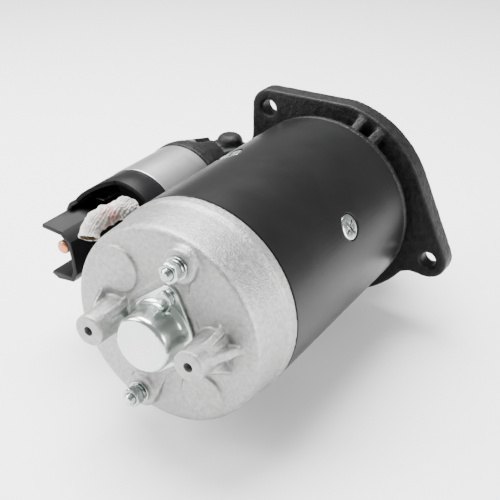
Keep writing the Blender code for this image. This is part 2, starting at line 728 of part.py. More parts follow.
def make_brush_springs():
    """A flat strip wound on its post, with an arm that lies over the brush."""
    for number, degrees in enumerate(POLE_ANGLES, start=1):
        route = []
        for step in range(19):
            turn = 90 - 720 * step / 18 + 360
            radius = (2.9 + 3.6 * step / 18) * MM
            x, y = polar(radius, -turn)
            route.append((31 * MM + x, -13 * MM + y))
        route = route[::-1]
        route = [(BRUSH_TOP + 0.9 * MM, 2 * MM), (BRUSH_TOP + 0.8 * MM, -4 * MM)] + route
        shape = bmesh.new()
        low, high = -13 * MM, -6 * MM
        rows = [[shape.verts.new((x, y, z)) for x, z in route] for y in (low, high)]
        for i in range(len(route) - 1):
            shape.faces.new((rows[0][i], rows[0][i + 1], rows[1][i + 1], rows[1][i]))
        mesh = bpy.data.meshes.new(f"brush_spring_{number}")
        shape.to_mesh(mesh)
        shape.free()
        spring = place(f"brush_spring_{number}", mesh, STEEL, turn=(0, -math.radians(degrees), 0))
        strip = spring.modifiers.new("strip", "SOLIDIFY")
        strip.thickness = 0.5 * MM
        strip.offset = 0


# ---------------------------------------------------------------- drive


def make_clutch():
    low, high = GROOVE_Y - GROOVE_WIDTH / 2, GROOVE_Y + GROOVE_WIDTH / 2
    bore = SPLINE_RADIUS + 0.4 * MM
    profile = [
        (CLUTCH_RADIUS, CLUTCH_FRONT), (CLUTCH_RADIUS, 147 * MM), (26.5 * MM, 145 * MM),
        (COLLAR_RADIUS, 145 * MM), (COLLAR_RADIUS, high), (GROOVE_RADIUS, high), (GROOVE_RADIUS, low),
        (COLLAR_RADIUS, low), (COLLAR_RADIUS, 134 * MM), (bore, 134 * MM), (bore, 148 * MM), (20 * MM, 148 * MM),
        (20 * MM, 159.5 * MM), (12.7 * MM, 159.5 * MM), (12.7 * MM, CLUTCH_FRONT),
    ]
    turned("clutch_drive", profile, STEEL, steps=26, parent=DRIVE)
    cage = ring("clutch_rollers", 18.5 * MM, 13.7 * MM, 148.4 * MM, 149.8 * MM, STEEL, steps=20, parent=DRIVE)
    rollers = [rod(f"roller_{n}", 3.4 * MM, 149 * MM, 158.8 * MM, at=polar(16.2 * MM, 72 * n), steps=10) for n in range(5)]
    unite(cage, rollers)


def gear_outline():
    points = []
    pitch = 360 / PINION_TEETH
    for tooth in range(PINION_TEETH):
        middle = tooth * pitch
        for radius, offset in ((PINION_ROOT, -0.32), (15.8 * MM, -0.24), (PINION_RADIUS, -0.11),
                               (PINION_RADIUS, 0.11), (15.8 * MM, 0.24), (PINION_ROOT, 0.32)):
            points.append(polar(radius, middle + offset * pitch))
    return points


def make_pinion():
    bore = SPLINE_RADIUS + 0.4 * MM
    pinion = face_plate("pinion", [gear_outline(), circle(bore, 24)], 163 * MM, PINION_FRONT, STEEL, parent=PINION)
    unite(pinion, [ring("pinion_tail", 12.3 * MM, bore, 149 * MM, 164 * MM, steps=24)])


# ---------------------------------------------------------------- drive-end housing


def flange_outline():
    """The flange's edge: arcs of its disc between the ears, and each ear's flanks and round tip."""
    points = []
    for (radius, degrees, leave, meet), following in zip(EARS, EARS[1:] + EARS[:1]):
        tip = polar(radius, degrees)
        start = tangent_angle(tip, EAR_TIP, leave, 1)
        end = tangent_angle(tip, EAR_TIP, meet, -1)
        end += 360 * math.ceil((start - end) / 360)
        points += [leave] + arc(tip, EAR_TIP, start, end, 8)
        disc_from = math.degrees(math.atan2(meet[1], meet[0]))
        disc_to = math.degrees(math.atan2(following[2][1], following[2][0]))
        disc_to += 360 * math.ceil((disc_from - disc_to) / 360)
        steps = max(2, round((disc_to - disc_from) / 5))
        points += arc((0, 0), FLANGE_RADIUS, disc_from, disc_to, steps)[:-1]
    return points


def hull(name, points):
    shape = bmesh.new()
    for point in points:
        shape.verts.new(point)
    made = bmesh.ops.convex_hull(shape, input=shape.verts)
    loose = [v for v in made["geom_interior"] if isinstance(v, bmesh.types.BMVert)]
    bmesh.ops.delete(shape, geom=loose, context="VERTS")
    bmesh.ops.recalc_face_normals(shape, faces=shape.faces)
    mesh = bpy.data.meshes.new(name)
    shape.to_mesh(mesh)
    shape.free()
    return place(name, mesh)


def solenoid_head():
    """The head narrows from the solenoid's round joint to the fork chamber."""
    points = []
    for radius, y, x in ((HEAD_RADIUS, 107.3, SOLENOID_X), (HEAD_RADIUS, 114.0, SOLENOID_X), (21 * MM, 150.0, -86 * MM)):
        points += [(px, y * MM, pz) for px, pz in circle(radius, 24, (x, SOLENOID_Z))]
    return hull("solenoid_head", points)


def fork_bridge():
    """The box that joins the head to the neck, over the fork."""
    points = []
    for x, half in ((-84 * MM, 19 * MM), (-30 * MM, 24 * MM)):
        for y in (132.5 * MM, 151.5 * MM):
            points += [(x, y, SOLENOID_Z - half), (x, y, SOLENOID_Z + half)]
    return hull("fork_bridge", points)


def lever_boss():
    """A round plug boss that stands up beside the head, over the fork's plunger end."""
    profile = [(0, 29.7 * MM), (5.2 * MM, 29.7 * MM), (7.9 * MM, 27.6 * MM), (9 * MM, 23 * MM), (9.4 * MM, 17.3 * MM), (0, 17.3 * MM)]
    return turned("lever_boss", profile, None, (-73 * MM, 142.6 * MM, 0), 20, (0, 0, 0))


def screw_pockets():
    """Spot faces in the head for the screws that hold the solenoid, and their clearance holes."""
    made = []
    for number, degrees in enumerate(SOLENOID_SCREW_ANGLES):
        x, z = polar(SOLENOID_SCREW_REACH, degrees)
        at = (SOLENOID_X + x, SOLENOID_Z + z)
        made.append(rod(f"spot_face_{number}", 6.5 * MM, 119 * MM, 160 * MM, at=at, steps=16))
        made.append(rod(f"screw_way_{number}", 2.9 * MM, 100 * MM, 125 * MM, at=at, steps=12))
    return made


SOLENOID_SCREW_ANGLES = (95, 275)
SOLENOID_SCREW_REACH = 22.6 * MM


def neck_ribs():
    outline = [(48 * MM, 133.5 * MM), (57 * MM, 135.5 * MM), (63.5 * MM, 146 * MM), (48 * MM, 146 * MM)]
    return [rib(f"neck_rib_{n}", outline, 5 * MM, angle) for n, angle in enumerate((70.4, 58, 250.4, 238))]


def chamber_cuts():
    """The hollow for the drive, the fork and the plunger, and the window where the pinion meets its ring gear."""
    cavity = [
        (0, 199.5 * MM), (13 * MM, 199.5 * MM), (24 * MM, 195 * MM), (31 * MM, 179 * MM), (31 * MM, 158 * MM),
        (37 * MM, 151 * MM), (47 * MM, 139 * MM), (47 * MM, 133.3 * MM), (SPIGOT_RADIUS + GAP, 133.3 * MM),
        (SPIGOT_RADIUS + GAP, 130 * MM), (0, 130 * MM),
    ]
    low, high = SOLENOID_Z - 14 * MM, SOLENOID_Z + 14 * MM
    window = block("pinion_window", (7 * MM, 165 * MM, -27 * MM), (70 * MM, 193 * MM, 27 * MM))
    window.rotation_euler = (0, -math.radians(WINDOW_ANGLE), 0)
    return [
        turned("drive_cavity", cavity, steps=30),
        rod("plunger_way", 17.6 * MM, 100 * MM, 133 * MM, at=(SOLENOID_X, SOLENOID_Z), steps=24),
        block("fork_well", (-103 * MM, 120 * MM, low), (-61.3 * MM, 147.5 * MM, high)),
        block("fork_slot", (-66 * MM, 133.6 * MM, low + MM), (-20 * MM, 147 * MM, high - MM)),
        window,
    ]


WINDOW_ANGLE = 55.0


def make_housing():
    body = [
        (0, NOSE_END), (17.5 * MM, NOSE_END), (21 * MM, 203 * MM), (29 * MM, 196 * MM), (35 * MM, 181 * MM),
        (36 * MM, 168 * MM), (39 * MM, 161 * MM), (PILOT_RADIUS, 161 * MM), (PILOT_RADIUS, 150 * MM), (51 * MM, 150 * MM),
        (51.5 * MM, 138.5 * MM), (YOKE_RADIUS, 136.6 * MM), (YOKE_RADIUS, 132.3 * MM), (0, 132.3 * MM),
    ]
    housing = turned("drive_end_housing", body, ROUGH_BLACK, steps=40)
    holes = [circle(EAR_HOLE, 20, polar(radius, degrees)) for radius, degrees, _, _ in EARS]
    flange = face_plate("flange", [flange_outline()] + holes, FLANGE_REAR, FLANGE_FRONT)
    unite(housing, [flange, solenoid_head(), fork_bridge(), lever_boss()] + neck_ribs())
    cut(housing, chamber_cuts() + screw_pockets())
    bosses = [rod(f"bolt_boss_{n}", 6.5 * MM, 133.8 * MM, 148 * MM, at=polar(BOLT_CIRCLE, a), steps=16)
              for n, a in enumerate(BOLT_ANGLES)]
    unite(housing, bosses)
    drillings = [rod(f"bolt_tapping_{n}", BOLT_RADIUS + GAP, 130 * MM, 142.5 * MM, at=polar(BOLT_CIRCLE, a), steps=12)
                 for n, a in enumerate(BOLT_ANGLES)]
    drillings.append(rod("nose_bore", 9.8 * MM, 190 * MM, 220 * MM, steps=28))
    cut(housing, drillings + [upright("pin_bore", PIN_RADIUS + GAP, -40 * MM, 40 * MM)])
    return housing


# ---------------------------------------------------------------- fork, plunger and solenoid

PIN_RADIUS = 3.0 * MM
FORK_HALF = 3.0 * MM


def upright(name, radius, z_from, z_to, look=None, at=(PIVOT_X, PIVOT_Y), steps=20, parent=None):
    profile = [(0, z_to), (radius, z_to), (radius, z_from), (0, z_from)]
    return turned(name, profile, look, (at[0], at[1], 0), steps, (0, 0, 0), parent)


def fork_outline():
    """The fork seen along the shaft, from its plunger end to the two arms around the collar."""
    inside, outside = 20.6 * MM, 26 * MM
    reach = -PIVOT_X
    half = [(-21 * MM, 4.5 * MM), (-18 * MM, 4.5 * MM), (-9 * MM, 8 * MM), (9 * MM, 8 * MM), (22 * MM, 8 * MM)]
    half += [(x + reach, y) for x, y in arc((0, 0), outside, 152, 90, 6)]
    half += [(reach + 3.2 * MM, outside), (reach + 3.2 * MM, 15.8 * MM), (reach - 3.2 * MM, 15.8 * MM),
             (reach - 3.2 * MM, math.sqrt(inside**2 - (3.2 * MM) ** 2))]
    half += [(x + reach, y) for x, y in arc((0, 0), inside, 105, 175, 6)]
    return mirrored(half)


def make_fork():
    """The fork turns on its pin: its pads run in the collar's groove, and its slot holds the plunger's pin."""
    mesh = slab_mesh("shift_fork", [fork_outline()], 2 * FORK_HALF)
    fork = place("shift_fork", mesh, STEEL, (PIVOT_X, PIVOT_Y, 0), (math.pi / 2, 0, 0))
    boss = upright("fork_boss", 5.2 * MM, SOLENOID_Z - 8 * MM, SOLENOID_Z + 8 * MM)
    tip = block("fork_tip", (-95 * MM, 131.5 * MM, SOLENOID_Z - 4.5 * MM), (-74 * MM, 143.5 * MM, SOLENOID_Z + 4.5 * MM))
    slot = block("fork_slot_for_pin", (-98 * MM, 134.3 * MM, -9 * MM), (-80 * MM, 140.7 * MM, 13 * MM))
    pads = []
    for side in (-1, 1):
        low, high = sorted((side * 15 * MM, side * 20.4 * MM))
        for name, y_from, y_to in (("rear", 130 * MM, GROOVE_Y - 2.3 * MM), ("front", GROOVE_Y + 2.2 * MM, 150 * MM)):
            pads.append(block(f"pad_{name}_{side}", (-3.7 * MM, y_from, low), (3.7 * MM, y_to, high)))
    unite(fork, [boss, tip])
    cut(fork, [slot, upright("fork_eye", PIN_RADIUS + GAP, -30 * MM, 30 * MM)] + pads)
    upright("fork_pivot_pin", PIN_RADIUS, SOLENOID_Z - 24 * MM, SOLENOID_Z + 24 * MM, STEEL)


def make_plunger():
    at = (SOLENOID_X, SOLENOID_Z)
    profile = [
        (0, 124.5 * MM), (15.6 * MM, 124.5 * MM), (15.6 * MM, 122.5 * MM), (12 * MM, 122.5 * MM), (12 * MM, 89 * MM),
        (11 * MM, 88 * MM), (0, 88 * MM),
    ]
    plunger = turned("plunger", profile, STEEL, at, 28)
    cheeks = []
    for side in (-1, 1):
        z = sorted((SOLENOID_Z + side * 5.0 * MM, SOLENOID_Z + side * 8.6 * MM))
        cheeks.append(block(f"cheek_{side}", (SOLENOID_X - 5 * MM, 124 * MM, z[0]), (SOLENOID_X + 5 * MM, 142 * MM, z[1])))
    pin = upright("plunger_pin", 2.5 * MM, SOLENOID_Z - 8 * MM, SOLENOID_Z + 8 * MM, at=(SOLENOID_X, 137.5 * MM), steps=16)
    unite(plunger, cheeks + [pin])


def make_plunger_spring():
    turns, per_turn = 3, 12
    low, high = 108.6 * MM, 121.2 * MM
    count = int(turns * per_turn)
    points = []
    for step in range(count + 1):
        x, z = polar(14.2 * MM, 360 * step / per_turn)
        points.append((SOLENOID_X + x, low + (high - low) * step / count, SOLENOID_Z + z))
    place("plunger_spring", wire_mesh("plunger_spring", points, 0.9 * MM, detail=1), STEEL)


def make_solenoid():
    at = (SOLENOID_X, SOLENOID_Z)
    case = [
        (SOLENOID_RADIUS, SOLENOID_FRONT), (SOLENOID_RADIUS, SOLENOID_REAR), (26 * MM, SOLENOID_REAR),
        (26 * MM, 102.5 * MM), (12.5 * MM, 102.5 * MM), (12.5 * MM, SOLENOID_FRONT),
    ]
    body = turned("solenoid_case", case, SATIN_ZINC, at, 36)
    taps = []
    for number, degrees in enumerate(SOLENOID_SCREW_ANGLES):
        x, z = polar(SOLENOID_SCREW_REACH, degrees)
        taps.append(rod(f"case_tapping_{number}", 2.6 * MM, 100 * MM, 110 * MM, at=(at[0] + x, at[1] + z), steps=12))
    cut(body, taps)
    ring("solenoid_coil", 25.4 * MM, 13 * MM, 70.4 * MM, 101.8 * MM, COPPER, at, 28)
    core = [(25.6 * MM, 70 * MM), (25.6 * MM, 66 * MM), (3.5 * MM, 66 * MM), (3.5 * MM, 79.6 * MM), (12 * MM, 79.6 * MM), (12 * MM, 70 * MM)]
    turned("solenoid_core", core, STEEL, at, 28)


def make_solenoid_screws():
    for number, degrees in enumerate(SOLENOID_SCREW_ANGLES, start=1):
        x, z = polar(SOLENOID_SCREW_REACH, degrees)
        at = (SOLENOID_X + x, SOLENOID_Z + z)
        profile = [(0, 123.6 * MM), (4.2 * MM, 123.6 * MM), (4.6 * MM, 122.6 * MM), (4.6 * MM, 119.3 * MM), (2.3 * MM, 119.3 * MM),
                   (2.3 * MM, 103 * MM), (0, 103 * MM)]
        turned(f"solenoid_screw_{number}", profile, SATIN_ZINC, at, 16)


def terminal_at(side):
    """The battery stud is on the far side from the shaft and the motor stud on the near side."""
    x, z = polar(TERMINAL_REACH, TERMINAL_TILT)
    return (SOLENOID_X + side * x, SOLENOID_Z + side * z)


def shroud():
    """A three-sided wall that stands around the battery stud, open away from the motor."""
    outline = [
        (-112.2 * MM, 13.0 * MM), (-98.0 * MM, 11.4 * MM), (-92.0 * MM, 6.0 * MM), (-90.2 * MM, -3.5 * MM), (-89.2 * MM, -14.0 * MM),
        (-92.5 * MM, -19.8 * MM), (-104.0 * MM, -20.6 * MM), (-108.6 * MM, -18.2 * MM), (-107.4 * MM, -16.2 * MM), (-94.0 * MM, -17.0 * MM),
        (-92.0 * MM, -13.0 * MM), (-92.8 * MM, -3.5 * MM), (-94.4 * MM, 4.6 * MM), (-99.0 * MM, 9.0 * MM), (-112.8 * MM, 10.6 * MM),
    ]
    return face_plate("terminal_shroud", [outline], STUD_END_Y, 54 * MM)


def hood_lip(at):
    """The hood's outer side reaches further over the spade terminal, with a slanting front edge."""
    shape = bmesh.new()
    loops = []
    for degrees, front in ((97, 43.4), (105, 40.6), (114, 36.6), (123, 33.2), (132, 31.2), (141, 30.3), (150, 30.0)):
        section = []
        for radius, y in ((27.95, front), (27.95, 46.5), (25.55, 46.5), (25.55, front)):
            x, z = polar(radius * MM, degrees)
            section.append(shape.verts.new((at[0] + x, y * MM, at[1] + z)))
        loops.append(section)
    for this, following in zip(loops, loops[1:]):
        for i in range(4):
            j = (i + 1) % 4
            shape.faces.new((this[i], following[i], following[j], this[j]))
    shape.faces.new(loops[0])
    shape.faces.new(loops[-1][::-1])
    bmesh.ops.recalc_face_normals(shape, faces=shape.faces)
    mesh = bpy.data.meshes.new("hood_lip")
    shape.to_mesh(mesh)
    shape.free()
    return place("hood_lip", mesh)


def make_solenoid_cap():
    at = (SOLENOID_X, SOLENOID_Z)
    rim, outer = 25.4 * MM, 28.1 * MM
    profile = [
        (25.7 * MM, 65.5 * MM), (25.7 * MM, SOLENOID_REAR - GAP), (outer, SOLENOID_REAR - GAP), (outer, HOOD_Y), (rim, HOOD_Y), (rim, 53 * MM), (0, 53 * MM), (0, 56 * MM), (22 * MM, 56 * MM), (22 * MM, 65.5 * MM),
    ]
    cap = turned("solenoid_cap", profile, BLACK_PLASTIC, at, 36)
    ear = arc((0, 0), outer, 145, 158, 3) + arc((0, 0), rim, 158, 145, 3)
    fin = face_plate("hood_fin", [ear], 25 * MM, 46 * MM, at=at)
    unite(cap, [fin, hood_lip(at), shroud()])
    battery, motor = terminal_at(-1), terminal_at(1)
    holes = [rod(f"stud_way_{n}", 4.3 * MM, 0, 60 * MM, at=p, steps=20) for n, p in enumerate((battery, motor))]
    spade_hole = block("spade_way", (SPADE_X - 3.5 * MM, 40 * MM, SPADE_Z - 0.8 * MM), (SPADE_X + 3.5 * MM, 58 * MM, SPADE_Z + 0.8 * MM))
    cut(cap, holes + [spade_hole])


SPADE_X = -98.0 * MM
SPADE_Z = 18.0 * MM


def make_terminals():
    battery, motor = terminal_at(-1), terminal_at(1)
    for name, at, end, head in (("battery_terminal", battery, STUD_END_Y, 7 * MM), ("motor_terminal", motor, 37 * MM, 6.2 * MM)):
        profile = [
            (0, 58.8 * MM), (head, 58.8 * MM), (head, 56.3 * MM), (4 * MM, 56.3 * MM), (4 * MM, end + 4.2 * MM),
            (3.6 * MM, end + 3.8 * MM), (3.6 * MM, end + 3.2 * MM), (4 * MM, end + 2.8 * MM), (4 * MM, end + 0.8 * MM),
            (3.3 * MM, end), (0, end),
        ]
        turned(name, profile, COPPER, at, 16)
    hex_nut("motor_terminal_nut", 12 * MM, 4.3 * MM, 38.5 * MM, 43.5 * MM, motor, 20, BRASS)
    block("spade_terminal", (SPADE_X - 3.15 * MM, 38 * MM, SPADE_Z - 0.4 * MM), (SPADE_X + 3.15 * MM, 57.4 * MM, SPADE_Z + 0.4 * MM), SATIN_ZINC)


def make_contact_bridge():
    at = (SOLENOID_X, SOLENOID_Z)
    profile = [(0, 82.2 * MM), (3 * MM, 82.2 * MM), (3 * MM, 64.4 * MM), (18.5 * MM, 64.4 * MM), (18.5 * MM, 62 * MM), (0, 62 * MM)]
    turned("contact_bridge", profile, COPPER, at, 24)


# ---------------------------------------------------------------- field lead

SLEEVE_RADIUS = 6.0 * MM
# The sleeve's middle line, from its open end by the yoke, up over the loop and down to the motor terminal
SLEEVE_ROUTE = (
    (-74.0, -0.2, 15.0),
    (-75.6, 1.6, 19.0),
    (-75.4, 5.0, 22.2),
    (-73.6, 10.0, 24.0),
    (-71.8, 15.5, 24.2),
    (-70.4, 21.5, 24.8),
    (-69.8, 26.5, 24.4),
    (-70.3, 31.0, 21.0),
    (-71.8, 34.6, 16.8),
)


def make_lead():
    route = [[value * MM for value in point] for point in SLEEVE_ROUTE]
    place("field_lead_sleeve", wire_mesh("field_lead_sleeve", smooth_route(route, 2), SLEEVE_RADIUS, detail=3), WHITE_SLEEVE)
    x, z = polar(YOKE_INSIDE - 2 * MM, LEAD_ANGLE)
    out_x, out_z = polar(YOKE_RADIUS + 4 * MM, LEAD_ANGLE)
    inner = [(x, LEAD_Y, z), (out_x, LEAD_Y, out_z), (-65.5 * MM, 5.5 * MM, 13.2 * MM), (-69 * MM, 2 * MM, 12.6 * MM),
             (-71.2 * MM, 0.2 * MM, 14.0 * MM)]
    braid = smooth_route([list(p) for p in inner], 3)[:-2]
    place("field_lead_braid", wire_mesh("field_lead_braid", braid, 2.9 * MM), COPPER)
    flare = [(8.0 * MM, 60.6 * MM), (8.0 * MM, 57.9 * MM), (5.2 * MM, 57.9 * MM), (5.2 * MM, 51 * MM), (3.3 * MM, 51 * MM), (3.3 * MM, 60.6 * MM)]
    radial("lead_grommet", flare, LEAD_ANGLE, LEAD_Y, RUBBER, 16)


make_yoke()
make_pole_screws()
make_pole_shoes()
make_field_winding()
make_rear_end_shield()
make_end_cap()
make_cap_screws()
make_through_bolts()
make_bushes()
make_centre_plate()
make_shaft()
make_core()
make_winding()
make_commutator()
make_brush_plate()
make_brushes()
make_brush_springs()
make_clutch()
make_pinion()
make_housing()
make_fork()
make_plunger()
make_plunger_spring()
make_solenoid()
make_solenoid_screws()
make_solenoid_cap()
make_terminals()
make_contact_bridge()
make_lead()
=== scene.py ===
# %% [markdown]
# # A starter motor, finished piece by piece
#
# The CAD frame gives every piece its place and size. Each piece that shows is modelled again here, with the
# roundings, threads and cast skin of the real one, and rides on the CAD body that it belongs to. The shaft
# runs along Y. All sizes are in millimetres until `at()` turns them into metres.

# %% Load the frame
import json
import math

import bpy
from mathutils import Matrix, Vector

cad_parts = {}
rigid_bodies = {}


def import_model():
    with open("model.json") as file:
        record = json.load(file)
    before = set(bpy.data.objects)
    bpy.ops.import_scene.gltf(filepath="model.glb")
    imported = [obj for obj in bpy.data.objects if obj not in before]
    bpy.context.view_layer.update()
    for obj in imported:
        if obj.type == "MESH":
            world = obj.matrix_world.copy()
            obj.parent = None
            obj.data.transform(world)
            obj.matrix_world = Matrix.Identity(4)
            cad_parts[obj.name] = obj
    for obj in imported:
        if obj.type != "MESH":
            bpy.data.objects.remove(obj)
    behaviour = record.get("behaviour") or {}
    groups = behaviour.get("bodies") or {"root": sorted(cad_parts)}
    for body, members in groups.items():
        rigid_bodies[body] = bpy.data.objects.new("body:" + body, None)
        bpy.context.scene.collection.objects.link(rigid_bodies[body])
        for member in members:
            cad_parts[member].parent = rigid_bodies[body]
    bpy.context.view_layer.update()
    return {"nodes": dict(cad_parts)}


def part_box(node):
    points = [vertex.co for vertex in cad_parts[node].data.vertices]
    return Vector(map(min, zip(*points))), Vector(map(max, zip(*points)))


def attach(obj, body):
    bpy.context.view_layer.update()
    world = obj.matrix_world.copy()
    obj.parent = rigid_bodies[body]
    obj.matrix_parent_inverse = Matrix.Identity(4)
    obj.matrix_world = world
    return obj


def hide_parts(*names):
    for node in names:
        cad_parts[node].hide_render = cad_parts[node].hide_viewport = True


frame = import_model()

MM = 0.001
nodes = frame["nodes"]

# %% [markdown]
# The yoke is a tube around the shaft, so the middle of its box is the shaft's axis. The joint between the yoke
# and the rear shield is the zero that every length below is measured from: the yoke starts a small gap after
# it. The solenoid has an axis of its own, which is kept as its distance from the shaft.

# %% Find the axes
GAP = 0.3
yoke_low, yoke_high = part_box("yoke")
case_low, case_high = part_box("solenoid_case")
AXIS = Vector(((yoke_low.x + yoke_high.x) / 2, yoke_low.y - GAP * MM, (yoke_low.z + yoke_high.z) / 2))
SOLENOID = (((case_low.x + case_high.x) / 2 - AXIS.x) / MM, ((case_low.z + case_high.z) / 2 - AXIS.z) / MM)
print("shaft axis", [round(v, 4) for v in AXIS], "solenoid axis", [round(v, 1) for v in SOLENOID])


def at(x, y, z):
    """A point in millimetres from the shaft's zero, as metres in the frame."""
    return AXIS + Vector((x, y, z)) * MM


def polar(radius, degrees):
    return radius * math.cos(math.radians(degrees)), radius * math.sin(math.radians(degrees))


# %% [markdown]
# ## Small workshop tools
#
# Operators act on whatever is selected, so each tool starts by selecting its own object and nothing else.
# A modifier is applied at once, so that the finished piece is a plain mesh, and a piece that was moved has its
# place put into its mesh, so that its object stays at the origin.

# %% Select, name and apply
def only(obj):
    bpy.ops.object.select_all(action="DESELECT")
    obj.select_set(True)
    bpy.context.view_layer.objects.active = obj
    return obj


def settled(obj):
    """Puts an object's place, turn and scale into its mesh."""
    only(obj)
    bpy.ops.object.transform_apply(location=True, rotation=True, scale=True)
    return obj


def named(name):
    """Names the primitive that was just added."""
    obj = bpy.context.view_layer.objects.active
    obj.name = obj.data.name = name
    return settled(obj)


def moved(obj, x, z):
    """Slides a piece sideways from the shaft."""
    obj.location = Vector((x, 0, z)) * MM
    return settled(obj)


def twin(obj, name):
    """A copy of a piece, with a mesh of its own."""
    other = obj.copy()
    other.data = obj.data.copy()
    other.name = other.data.name = name
    bpy.context.collection.objects.link(other)
    return other


def apply(obj, kind, **settings):
    only(obj)
    modifier = obj.modifiers.new(kind.lower(), kind)
    for key, value in settings.items():
        setattr(modifier, key, value)
    bpy.ops.object.modifier_apply(modifier=modifier.name)
    return obj


# %% [markdown]
# Sharp edges are rounded with a Bevel that finds them by their angle. Solids are joined and cut with exact
# Booleans. Tools that don't touch each other are put into one object first, because one Boolean with many
# tools is much quicker than many Booleans.

# %% Round, join and cut
def rounded(obj, width, segments=2, angle=30):
    return apply(obj, "BEVEL", width=width * MM, segments=segments, limit_method="ANGLE",
                 angle_limit=math.radians(angle), use_clamp_overlap=True)


def smooth(obj, angle=35):
    only(obj)
    bpy.ops.object.shade_smooth_by_angle(angle=math.radians(angle))
    return obj


def joined(parts):
    """Puts pieces that don't touch into one object."""
    bpy.ops.object.select_all(action="DESELECT")
    for part in parts:
        part.select_set(True)
    bpy.context.view_layer.objects.active = parts[0]
    bpy.ops.object.join()
    return parts[0]


def combined(obj, tools, operation):
    """Joins or cuts obj with other closed pieces, which are used up."""
    for tool in tools:
        apply(obj, "BOOLEAN", operation=operation, object=tool, solver="EXACT")
        bpy.data.objects.remove(tool)
    return obj


# %% [markdown]
# ## Finishes
#
# Three effects are shared by many materials, so each is a node group with its own dials: a fine grain that
# moves the surface up and down, a patchy mottling that shifts colour and gloss, and a corner colour where the
# surface bends most, which is rubbed metal on most finishes and also a painted highlight on the casting's
# ridges.
# Everything is driven by Object coordinates, in metres.

# %% What the groups are made of
def new_group(name, inputs, output, kind="NodeSocketFloat"):
    """An empty group with its dials and its one output."""
    group = bpy.data.node_groups.new(name, "ShaderNodeTree")
    for label, value in inputs:
        socket = group.interface.new_socket(name=label, in_out="INPUT", socket_type="NodeSocketFloat")
        socket.default_value = value
    group.interface.new_socket(name=output, in_out="OUTPUT", socket_type=kind)
    return group, group.nodes.new("NodeGroupInput"), group.nodes.new("NodeGroupOutput")


def noise_in(tree, scale_from=None, scale=100.0, detail=4.0, rough=0.6, squeeze=None):
    """Noise on Object coordinates. squeeze: how much tighter it is along each axis."""
    coords = tree.nodes.new("ShaderNodeTexCoord")
    noise = tree.nodes.new("ShaderNodeTexNoise")
    noise.inputs["Scale"].default_value = scale
    noise.inputs["Detail"].default_value = detail
    noise.inputs["Roughness"].default_value = rough
    vector = coords.outputs["Object"]
    if squeeze:
        mapping = tree.nodes.new("ShaderNodeMapping")
        mapping.inputs["Scale"].default_value = squeeze
        tree.links.new(vector, mapping.inputs["Vector"])
        vector = mapping.outputs["Vector"]
    tree.links.new(vector, noise.inputs["Vector"])
    if scale_from:
        tree.links.new(scale_from, noise.inputs["Scale"])
    return noise.outputs["Fac"]


def calculated(tree, operation, first, second, clamp=False):
    node = tree.nodes.new("ShaderNodeMath")
    node.operation = operation
    node.use_clamp = clamp
    tree.links.new(first, node.inputs[0])
    tree.links.new(second, node.inputs[1])
    return node.outputs[0]


# %% [markdown]
# The grain adds a broad noise, for lumps, to a fine one, and turns the sum into a Normal. A paint, a casting
# and a pressed sheet then differ only by the grain's scale, its depth and its share of lumps.

# %% Surface grain
def grain_group():
    group, dials, out = new_group("surface_grain", [("Scale", 900.0), ("Depth", 0.2), ("Lumps", 0.3)],
                                  "Normal", "NodeSocketVector")
    fine = noise_in(group, dials.outputs["Scale"], detail=3)
    broad = noise_in(group, scale=120, detail=2)
    lumps = calculated(group, "MULTIPLY", broad, dials.outputs["Lumps"])
    height = calculated(group, "ADD", fine, lumps)
    bump = group.nodes.new("ShaderNodeBump")
    bump.inputs["Distance"].default_value = 0.4 * MM
    group.links.new(height, bump.inputs["Height"])
    group.links.new(dials.outputs["Depth"], bump.inputs["Strength"])
    group.links.new(bump.outputs["Normal"], out.inputs["Normal"])
    return group


GRAIN = grain_group()

# %% [markdown]
# No real surface has one even colour and gloss. The mottling is a soft mask between 0 and 1 that wanders over
# the surface, and two dials set where it starts and where it is full.

# %% Mottling
def mottle_group():
    group, dials, out = new_group("mottle", [("Scale", 40.0), ("Low", 0.35), ("High", 0.7)], "Mask")
    patch = noise_in(group, dials.outputs["Scale"], detail=5)
    spread = group.nodes.new("ShaderNodeMapRange")
    group.links.new(patch, spread.inputs["Value"])
    group.links.new(dials.outputs["Low"], spread.inputs["From Min"])
    group.links.new(dials.outputs["High"], spread.inputs["From Max"])
    group.links.new(spread.outputs["Result"], out.inputs["Mask"])
    return group


MOTTLE = mottle_group()

# %% [markdown]
# Handling rubs the corners first, and on the casting the same pale corners are also a painted highlight along
# its ridges. Pointiness is about a half on a flat face and more on a corner, so a narrow range above a half
# picks out the corners, and a noise breaks the line up.

# %% Worn corners and painted highlights
def rub_and_highlight_group():
    group, dials, out = new_group("edge_rub_and_highlight", [("Amount", 0.5)], "Mask")
    geometry = group.nodes.new("ShaderNodeNewGeometry")
    edge = group.nodes.new("ShaderNodeMapRange")
    edge.inputs["From Min"].default_value = 0.52
    edge.inputs["From Max"].default_value = 0.62
    group.links.new(geometry.outputs["Pointiness"], edge.inputs["Value"])
    broken = calculated(group, "MULTIPLY", edge.outputs["Result"], noise_in(group, scale=500))
    mask = calculated(group, "MULTIPLY", broken, dials.outputs["Amount"], clamp=True)
    group.links.new(mask, out.inputs["Mask"])
    return group


RUB_AND_HIGHLIGHT = rub_and_highlight_group()
print("node groups:", [group.name for group in bpy.data.node_groups])


# %% [markdown]
# One function wires the three effects into a Principled shader. Each finish then differs only by its numbers:
# the base colour, the colour it shifts to, gloss, metal, and how fine and how deep its grain is. What is the
# same all over, such as metal and specular, is set on the shader's own socket.

# %% A finish from its numbers
def use(tree, group, **values):
    node = tree.nodes.new("ShaderNodeGroup")
    node.node_tree = group
    for key, value in values.items():
        node.inputs[key].default_value = value
    return node


def colour_mix(tree, factor, first, second):
    mix = tree.nodes.new("ShaderNodeMix")
    mix.data_type = "RGBA"
    tree.links.new(factor, mix.inputs["Factor"])
    for socket, value in ((mix.inputs["A"], first), (mix.inputs["B"], second)):
        if isinstance(value, tuple):
            socket.default_value = (*value, 1)
        else:
            tree.links.new(value, socket)
    return mix.outputs["Result"]


